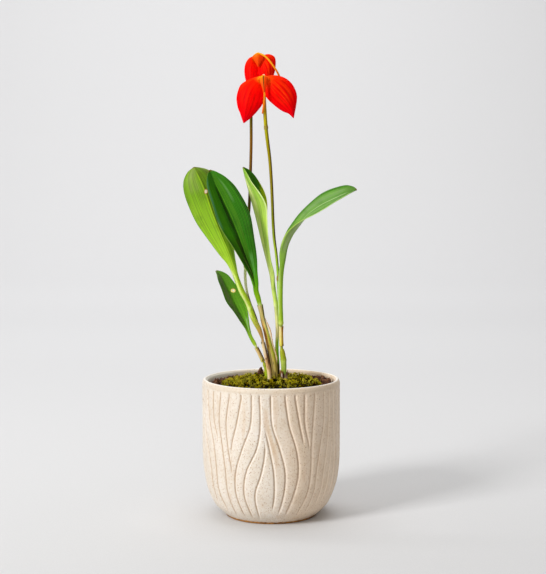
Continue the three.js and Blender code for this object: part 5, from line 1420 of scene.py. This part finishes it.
def pale_flesh():
    """Pale waxy flesh of the ovary, column, petals and lip, freckled with pink."""
    material, tree, shader = finish(
        "pale_flesh", IOR=1.4, Subsurface_Weight=0.15,
        Subsurface_Radius=(1.0, 0.6, 0.4), Subsurface_Scale=0.0008,
    )
    place = place_mm(tree)
    clouds = grain(tree, place, 0.7, 4)
    colour = ramp(tree, clouds, [
        (0.3, "d98f6a"), (0.45, "ecd2ac"), (0.62, "f4e8d6"), (0.8, "e9d27a"),
    ])
    colour = blend(tree, spots(tree, place, 2.2, 0.2, 0.1, 0.6), colour, "c0483c")
    dress(tree, shader, colour, level(tree, clouds, 0.3, 0.7, 0.4, 0.55), clouds, 0.1)
    return material


def column_shells(base, mouth):
    """The club-shaped column, a small petal on each side of it and the lip below it."""
    base, mouth = np.array(base, float), np.array(mouth, float)
    axis = mouth - base
    down = unit(np.array([0, 0, -1.0]) + axis * axis[2] / axis.dot(axis))
    side = unit(np.cross(axis, down))

    def organ(spread, drop, fall, widths):
        """An organ through [how far along the axis, radius], which spreads sideways and falls."""
        rows = []
        for t, r in widths:
            rows.append([*(base + axis * t + side * (spread * t) + down * (drop + fall * t)), r])
        return tube(rounded(rows, 5), 14)

    petal = [(0.24, 0.5), (0.6, 0.6), (0.92, 0.35)]
    return [
        organ(0, -0.3, 0, [(0.2, 0.7), (0.5, 0.8), (0.8, 1), (0.98, 0.7)]),
        organ(1.5, 0.3, 0, petal),
        organ(-1.5, 0.3, 0, petal),
        organ(0, 0, 1.6, [(0.26, 0.5), (0.6, 0.7), (0.96, 0.5)]),
    ]


scarlet_finish = scarlet()
pale_finish = pale_flesh()
for place, flower in FLOWERS.items():
    shells = [sepal_tube(*flower["tube"])]
    shells += [sepal_shell(rows, float(k)) for k, rows in enumerate(flower["sepals"])]
    name = "sepals_" + place
    make_piece(name + "_pair", shells, scarlet_finish, [name])

    plain = np.array([[*np.ravel(row), SEPAL_HALF, SEPAL_MARGIN] for row in flower["dorsal"]])
    fine = rounded(plain, SEPAL_STEPS)
    shells = [blade_shell(fine, np.linspace(0, 1, len(fine)), 1, columns=31)]
    shells += [tube(rounded(flower["tail"], 10), 14, kind=1.0)]
    warm_finish = orange("orange_" + place, flower["tail_colours"], flower["midline"])
    name = "dorsal_sepal_" + place
    make_piece("dorsal_" + place + "_tailed", shells, warm_finish, [name])

    name = "ovary_" + place
    shells = [tube(rounded(flower["ovary"], 6), 18)]
    make_piece(name + "_neck", shells, pale_finish, [name])
    name = "column_" + place
    make_piece(name + "_organs", column_shells(*flower["tube"]), pale_finish, [name])

# ---- Moss ----------------------------------------------------------------------------------------
# A living moss mat covers the bark: a dark felt of old growth, and on it thousands of short shoots
# with pointed leaflets in a spiral, yellow-green at their tips.
MOSS_RADIUS = 45.4
MOSS_BASE = 110
MOSS_CREST = 118.5
FELT_DEPTH = 1.7
SHOOTS = 2700
LEAFLETS = 14
STRANDS = 400
LEAFLET_PAIRS = 8
# The turn from one shoot or leaflet to the next, in radians, as in a sunflower's head.
GOLDEN_ANGLE = 2.39996
# Tall sprigs among the stems and near the wall: [x, y, length].
SPRIGS = np.array([
    [-19.5, 15, 7.4], [-17.5, 13.5, 8.0], [-15.8, 12.5, 6.8], [5.9, -5.6, 7.0], [7.2, -4.8, 6.0],
    [26, 24, 5.0], [-31, 12, 5.4], [33, 8, 5.0], [-24, 18, 5.4],
])


def moss_edge(angle):
    """The mat's uneven edge: bare bark shows past it on the right, and a little on the left."""
    right = np.mod(angle + math.pi, 2 * math.pi) - math.pi
    left = np.mod(angle, 2 * math.pi) - math.pi
    bare = 1.4 * np.exp(-((right - 0.3) / 0.4) ** 2) + 1.2 * np.exp(-(left / 0.5) ** 2)
    return MOSS_RADIUS + 0.9 * np.sin(3 * angle + 0.6) + 0.6 * np.sin(7 * angle) - bare


def tufts(x, y):
    """How full the moss is, from 0 in a gap to 1 on a tuft."""
    small = np.sin(x / 0.8 + 1.5 * np.sin(y / 3.3)) * np.sin(y / 2.0 + 1.6 * np.sin(x / 1.7))
    large = np.sin(x / 1.6 + 1.4 * np.sin(y / 4.7)) * np.sin(y / 3.6 + 1.7 * np.sin(x / 3.1))
    return 0.5 + 0.25 * small + 0.25 * large


def patch_tone(x, y):
    """Lighter and darker moss side by side, from -1 to 1, whatever its height."""
    return np.sin(x / 0.48 + 1.9 * np.sin(y / 4.1)) * (0.65 + 0.35 * np.sin(y / 2.3 + x / 3.7))


def moss_level(x, y):
    """The mat's height: a tufted low dome, lower on the left, that turns down at its edge."""
    angle = np.arctan2(y, x)
    share = np.hypot(x, y) / moss_edge(angle)
    low = 1.7 * np.clip((-x - 6) / 22, 0, 1)
    dome = MOSS_BASE + 0.8 + (MOSS_CREST - low - MOSS_BASE - 0.8) * (1 - np.clip(share, 0, 1) ** 7)
    hummocks = 0.5 * np.sin(x / 7.3 + 0.7) * np.cos(y / 6.1 - 0.4)
    return dome + (4.4 * (tufts(x, y) - 0.5) + hummocks) * np.clip((1 - share) * 12, 0, 1)


def moss_felt():
    """The felt of old growth: a flat underside, and a top just below the shoots."""
    angle = np.linspace(0, 2 * math.pi, 160, endpoint=False)
    rings = []
    for share in (0.96, *np.linspace(0.985, 0.02, 52)):
        radius = share * moss_edge(angle)
        x, y = radius * np.cos(angle), radius * np.sin(angle)
        top = np.maximum(moss_level(x, y) - FELT_DEPTH, MOSS_BASE + 0.2)
        rings.append(np.column_stack([x, y, top if rings else np.full_like(x, MOSS_BASE)]))
    return lofted(np.array(rings), np.zeros((len(rings), len(angle), 3)))


def leaflets(root, wide, out, up, size, tone, s):
    """Pointed leaflets, each a small closed wedge from its root to its tip."""
    size = size[..., None]
    corners = np.stack([
        root + wide * size * 0.2 + out * size * 0.25,
        root - wide * size * 0.2 + out * size * 0.25,
        root - up * size * 0.2 + out * size * 0.1,
        root + out * size * 1.05 + up * size * 0.05,
    ], axis=-2)
    first = 4 * np.arange(corners[..., 0, 0].size)[:, None]
    wedge = ([0, 1, 3], [1, 2, 3], [2, 0, 3], [1, 0, 2])
    faces = np.concatenate([first + f for f in wedge]).tolist()
    lie = np.zeros(corners.shape)
    lie[..., 0] = tone[..., None]
    lie[..., 1] = s[..., None]
    lie[..., 3, 2] = 1.0
    return shell(corners, faces, lie)


def fine_stems(middle, side, other, width, tone):
    """Three-sided stems through rows of points."""
    turn = np.array([0, 2.1, 4.2])[:, None]
    ring = np.cos(turn) * side[:, None, None] + np.sin(turn) * other[:, None, None]
    corners = middle[:, :, None] + ring * width[None, :, None, None]
    count, rows = middle.shape[:2]
    first = 3 * rows * np.arange(count)[:, None]
    ends = [[2, 1, 0], [3 * rows - 3, 3 * rows - 2, 3 * rows - 1]]
    faces = np.concatenate([first + f for f in quads(rows, 3, ring=True)]).tolist()
    faces += np.concatenate([first + f for f in ends]).tolist()
    lie = np.zeros(corners.shape)
    lie[..., 0] = tone[:, None, None] * 0.6
    return shell(corners, faces, lie)


def moss_strands():
    """Longer strands that lie over the mat every way, with a row of leaflets on each side."""
    rng = np.random.default_rng(11)
    n = np.arange(STRANDS)
    share = np.sqrt((n + 0.5) / STRANDS) * 0.95
    angle = n * GOLDEN_ANGLE + rng.normal(0, 0.05, STRANDS)
    radius = share * moss_edge(angle)
    s = np.linspace(0, 1, LEAFLET_PAIRS)
    bend = rng.normal(0, 1.1, STRANDS)[:, None]
    turn = rng.uniform(0, 2 * math.pi, STRANDS)[:, None] + bend * s
    step = rng.uniform(2.6, 6.0, STRANDS)[:, None] / LEAFLET_PAIRS
    x = (radius * np.cos(angle))[:, None] + np.cumsum(np.cos(turn) * step, axis=1)
    y = (radius * np.sin(angle))[:, None] + np.cumsum(np.sin(turn) * step, axis=1)
    arch = rng.uniform(0.9, 2.7, STRANDS)[:, None] * np.sin(2.4 * s)
    root = np.dstack([x, y, moss_level(x, y) + arch - 0.5])
    # The tone follows the tufts' height: painted shade in the gaps and painted light on the tops.
    tone = 0.54 + 2.4 * (tufts(x[:, 2], y[:, 2]) - 0.5) + 0.65 * patch_tone(x[:, 2], y[:, 2])
    tone = np.clip(tone + rng.normal(0, 0.2, STRANDS), 0, 0.93)
    forward = unit(np.gradient(root, axis=1))
    across = unit(np.cross(forward, [0, 0, 1.0]))
    up = np.cross(across, forward)
    rows = []
    for side in (-1, 1):
        raised = rng.uniform(0, 0.5, (STRANDS, LEAFLET_PAIRS, 1)) * up
        out = unit(side * 0.8 * across + 0.7 * forward + raised)
        wide = unit(np.cross(out, up))
        size = (1.5 - 0.6 * s) * rng.uniform(0.7, 1.3, (STRANDS, LEAFLET_PAIRS))
        rows.append(leaflets(root, wide, out, up, size, tone[:, None], 0.5 + 0.5 * s[None, :]))
    width = np.interp(s, [0, 1], [0.2, 0.07])
    return [*rows, fine_stems(root, across[:, 0], up[:, 0], width, tone)]


def moss_shoots():
    """Shoots in a spiral over the mat, each a thin stem with a spiral of pointed leaflets."""
    rng = np.random.default_rng(7)
    n = np.arange(SHOOTS)
    share = np.sqrt((n + 0.5) / SHOOTS) * 0.99
    angle = n * GOLDEN_ANGLE + rng.normal(0, 0.02, SHOOTS)
    radius = share * moss_edge(angle) + rng.normal(0, 0.35, SHOOTS)
    x, y = radius * np.cos(angle), radius * np.sin(angle)
    sprigs = slice(-len(SPRIGS), None)
    x[sprigs], y[sprigs] = SPRIGS[:, 0], SPRIGS[:, 1]
    z = moss_level(x, y) - 2.3
    lean = rng.normal(0, 0.9, (SHOOTS, 2))
    rim = np.clip((share - 0.86) / 0.14, 0, 1)
    lean += np.column_stack([np.cos(angle), np.sin(angle)]) * (0.9 * rim)[:, None]
    lean[sprigs] *= 0.15
    axis = unit(np.column_stack([lean, np.ones(SHOOTS)]))
    full = tufts(x, y)
    length = rng.uniform(1.6, 3.6, SHOOTS) * (0.65 + 0.7 * full)
    length[sprigs] = SPRIGS[:, 2]
    side = unit(np.cross(axis, unit(rng.normal(0, 1, (SHOOTS, 3)))))
    other = np.cross(axis, side)
    base = np.column_stack([x, y, z])
    # The tone follows the tufts' height: painted shade in the gaps and painted light on the tops.
    tone = 0.4 + 2.8 * (full - 0.5) + 0.7 * patch_tone(x, y)
    tone = np.clip(tone + rng.normal(0, 0.22, SHOOTS), 0, 0.93)
    # A few shoots are old and brown.
    tone[rng.random(SHOOTS) > 0.94] = 0.98
    tone[sprigs] = 0.72

    k = np.arange(LEAFLETS)
    s = 0.12 + 0.88 * (k + 0.5) / LEAFLETS
    spin = (k * GOLDEN_ANGLE)[None, :, None]
    opening = np.interp(s, [0, 0.6, 1], [0.45, 0.75, 1.25])[None, :, None]
    droop = 0.35 * s**2
    centre = base[:, None] + axis[:, None] * (length[:, None] * s)[..., None]
    centre += side[:, None] * (length[:, None] * droop)[..., None] * 0.8
    spoke = np.cos(spin) * side[:, None] + np.sin(spin) * other[:, None]
    out = spoke * np.cos(opening) + axis[:, None] * np.sin(opening)
    wide = np.cross(axis[:, None], spoke)
    size = (1.15 - 0.5 * s)[None, :] * rng.uniform(0.7, 1.3, SHOOTS)[:, None]
    leaves = leaflets(centre, wide, out, axis[:, None], size, tone[:, None], s[None, :])

    along = np.array([0.0, 0.5, 1.0])
    middle = base[:, None] + axis[:, None] * (length[:, None] * along)[..., None]
    middle += side[:, None] * (length[:, None] * 0.28 * along**2)[..., None]
    return [leaves, fine_stems(middle, side, other, np.array([0.22, 0.18, 0.05]), tone)]


def moss_finish():
    """Moss leaflets: dark at a shoot's foot and yellow-green at its tip, by the shoot's tone."""
    material, tree, shader = finish(
        "moss_shoot", IOR=1.4, Specular_IOR_Level=0.0, Subsurface_Weight=0.04,
        Subsurface_Radius=(0.5, 1.0, 0.2), Subsurface_Scale=0.0004,
    )
    tone, s, tip, _ = lie_of(tree)
    place = place_mm(tree)
    old = ramp(tree, tone, [(0.2, "080502"), (0.5, "241e02"), (0.8, "6a6008")])
    young = ramp(tree, tone, [
        (0.0, "060400"), (0.25, "140f00"), (0.45, "685c00"), (0.6, "b8a600"), (0.78, "fce40c"),
        (0.93, "fff448"), (0.95, "d8742a"), (1.0, "8a3c14"),
    ])
    fresh = calc(tree, "ADD", times(tree, s, 0.75), times(tree, tip, 0.3))
    colour = blend(tree, level(tree, fresh, 0.2, 0.8), old, young)
    patches = grain(tree, place, 0.16, 3)
    colour = blend(tree, level(tree, patches, 0.52, 0.7, 0, 0.55), colour, "5a3c18", "MULTIPLY")
    rough = level(tree, patches, 0.3, 0.7, 0.6, 0.8)
    dress(tree, shader, colour, rough, grain(tree, place, 3.0), 0.05)
    return material


def felt_finish():
    """The old growth under the shoots: near black and brown, with matted fibres."""
    material, tree, shader = finish("moss_felt", IOR=1.4)
    place = place_mm(tree)
    fuzz = grain(tree, place, 1.4, 6)
    colour = ramp(tree, fuzz, [
        (0.3, "0a0602"), (0.48, "1a1004"), (0.6, "2c2408"), (0.75, "4a4410"),
    ])
    dress(tree, shader, colour, level(tree, fuzz, 0.3, 0.7, 0.98, 0.85), fuzz, 1.0)
    return material


make_piece("moss_felt", [moss_felt()], felt_finish(), ["moss"])
shoot_finish = moss_finish()
make_piece("moss_shoots", moss_shoots(), shoot_finish)
make_piece("moss_strands", moss_strands(), shoot_finish)

# ---- Bark chip -----------------------------------------------------------------------------------
# One loose chip of the same dry, layered bark as the mix, split to a point. It stands among the
# stems, and only the moss that it has sunk into holds it.
CHIP_PLACE = [-9.2, 9.4, 124.2]
CHIP_SIZE = [6.2, 3.8, 6.0]
CHIP_TURN = math.radians(38)
chip = bark_flake(CHIP_PLACE, CHIP_TURN, CHIP_SIZE, 8, tilt=0.1, point=0.8)
make_piece("loose_chip", [chip], bark_finish, ["bark_chip"], sharp_degrees=30)

# ---- Floor, light and camera ---------------------------------------------------------------------
# A plain pale paper sweep under a soft key light from the left, with weaker ones above and in
# front, a wash on the wall behind, and an even warm sky. Sizes here are in metres.
SWEEP_HALF_WIDTH = 6.0
SWEEP_LEVEL = -0.0002
SWEEP_FRONT = -4.0
SWEEP_BEND_FROM = 2.2
SWEEP_BEND = 1.6
SWEEP_TOP = 6.0


def sweep():
    """A floor that curves up into a wall far behind the pot."""
    line = [(SWEEP_FRONT, SWEEP_LEVEL)]
    for a in np.linspace(0, math.pi / 2, 16):
        rise = SWEEP_BEND * (1 - math.cos(a))
        line.append((SWEEP_BEND_FROM + SWEEP_BEND * math.sin(a), SWEEP_LEVEL + rise))
    line.append((SWEEP_BEND_FROM + SWEEP_BEND, SWEEP_TOP))
    points = [(x, y, z) for y, z in line for x in (-SWEEP_HALF_WIDTH, SWEEP_HALF_WIDTH)]
    mesh = bpy.data.meshes.new("sweep")
    mesh.from_pydata(points, [], quads(len(line), 2))
    mesh.polygons.foreach_set("use_smooth", [True] * len(mesh.polygons))
    material, tree, shader = finish("paper_sweep", Specular_IOR_Level=0.0)
    place = add(tree, "TexCoord", {}).outputs["Object"]
    fleck = grain(tree, place, 900.0, 3)
    colour = ramp(tree, fleck, [(0.3, "d9d9da"), (0.7, "dededf")])
    # The paper is painted a little darker behind the pot, up to the foot of the bend: painted shade
    # for the wall wash's pool of light there.
    back = parts_of(tree, place)[1]
    behind = times(tree, level(tree, back, 0.05, 0.95), level(tree, back, 2.3, 1.38))
    colour = blend(tree, behind, colour, "f1f1f1", "MULTIPLY")
    dress(tree, shader, colour, level(tree, fleck, 0.3, 0.7, 0.8, 0.9))
    mesh.materials.append(material)
    floor = bpy.data.objects.new("sweep", mesh)
    bpy.context.scene.collection.objects.link(floor)


def soft_light(name, place, aim, size, watts, colour=(1, 1, 1)):
    """A square soft light turned towards a point."""
    data = bpy.data.lights.new(name, "AREA")
    data.size = size
    data.energy = watts
    data.color = colour
    light = bpy.data.objects.new(name, data)
    light.location = place
    light.rotation_euler = (Vector(aim) - Vector(place)).to_track_quat("-Z", "Y").to_euler()
    bpy.context.scene.collection.objects.link(light)


sweep()
soft_light("key", (-1.5, -1.3, 1.1), (0, 0, 0.12), 0.6, 34.8)
soft_light("overhead", (0.2, -0.1, 1.8), (0, 0, 0), 1.0, 7)
soft_light("front_fill", (0.1, -2.1, 0.9), (0, -0.2, 0.05), 0.9, 5)
soft_light("wall_wash", (-0.3, 0.85, 2.6), (-0.1, 3.4, 1.25), 2.0, 83, (0.98, 0.985, 1.0))
SKY_COLOUR = (1.0, 0.965, 0.9, 1.0)
SKY_STRENGTH = 0.255
world = bpy.data.worlds.new("studio")
world.use_nodes = True
sky = world.node_tree.nodes["Background"]
sky.inputs["Color"].default_value = SKY_COLOUR
sky.inputs["Strength"].default_value = SKY_STRENGTH
bpy.context.scene.world = world
bpy.context.scene.view_settings.view_transform = "Standard"

CAMERA_PLACE = (0.00158, -1.2, 0.3061)
CAMERA_TILT = math.radians(84.87)
LENS_MM = 87.54
SENSOR_MM = 36
camera_data = bpy.data.cameras.new("camera")
camera_data.lens = LENS_MM
camera_data.sensor_width = SENSOR_MM
camera = bpy.data.objects.new("camera", camera_data)
camera.location = CAMERA_PLACE
camera.rotation_euler = (CAMERA_TILT, 0, 0)
bpy.context.scene.collection.objects.link(camera)
bpy.context.scene.camera = camera

bpy.context.view_layer.update()
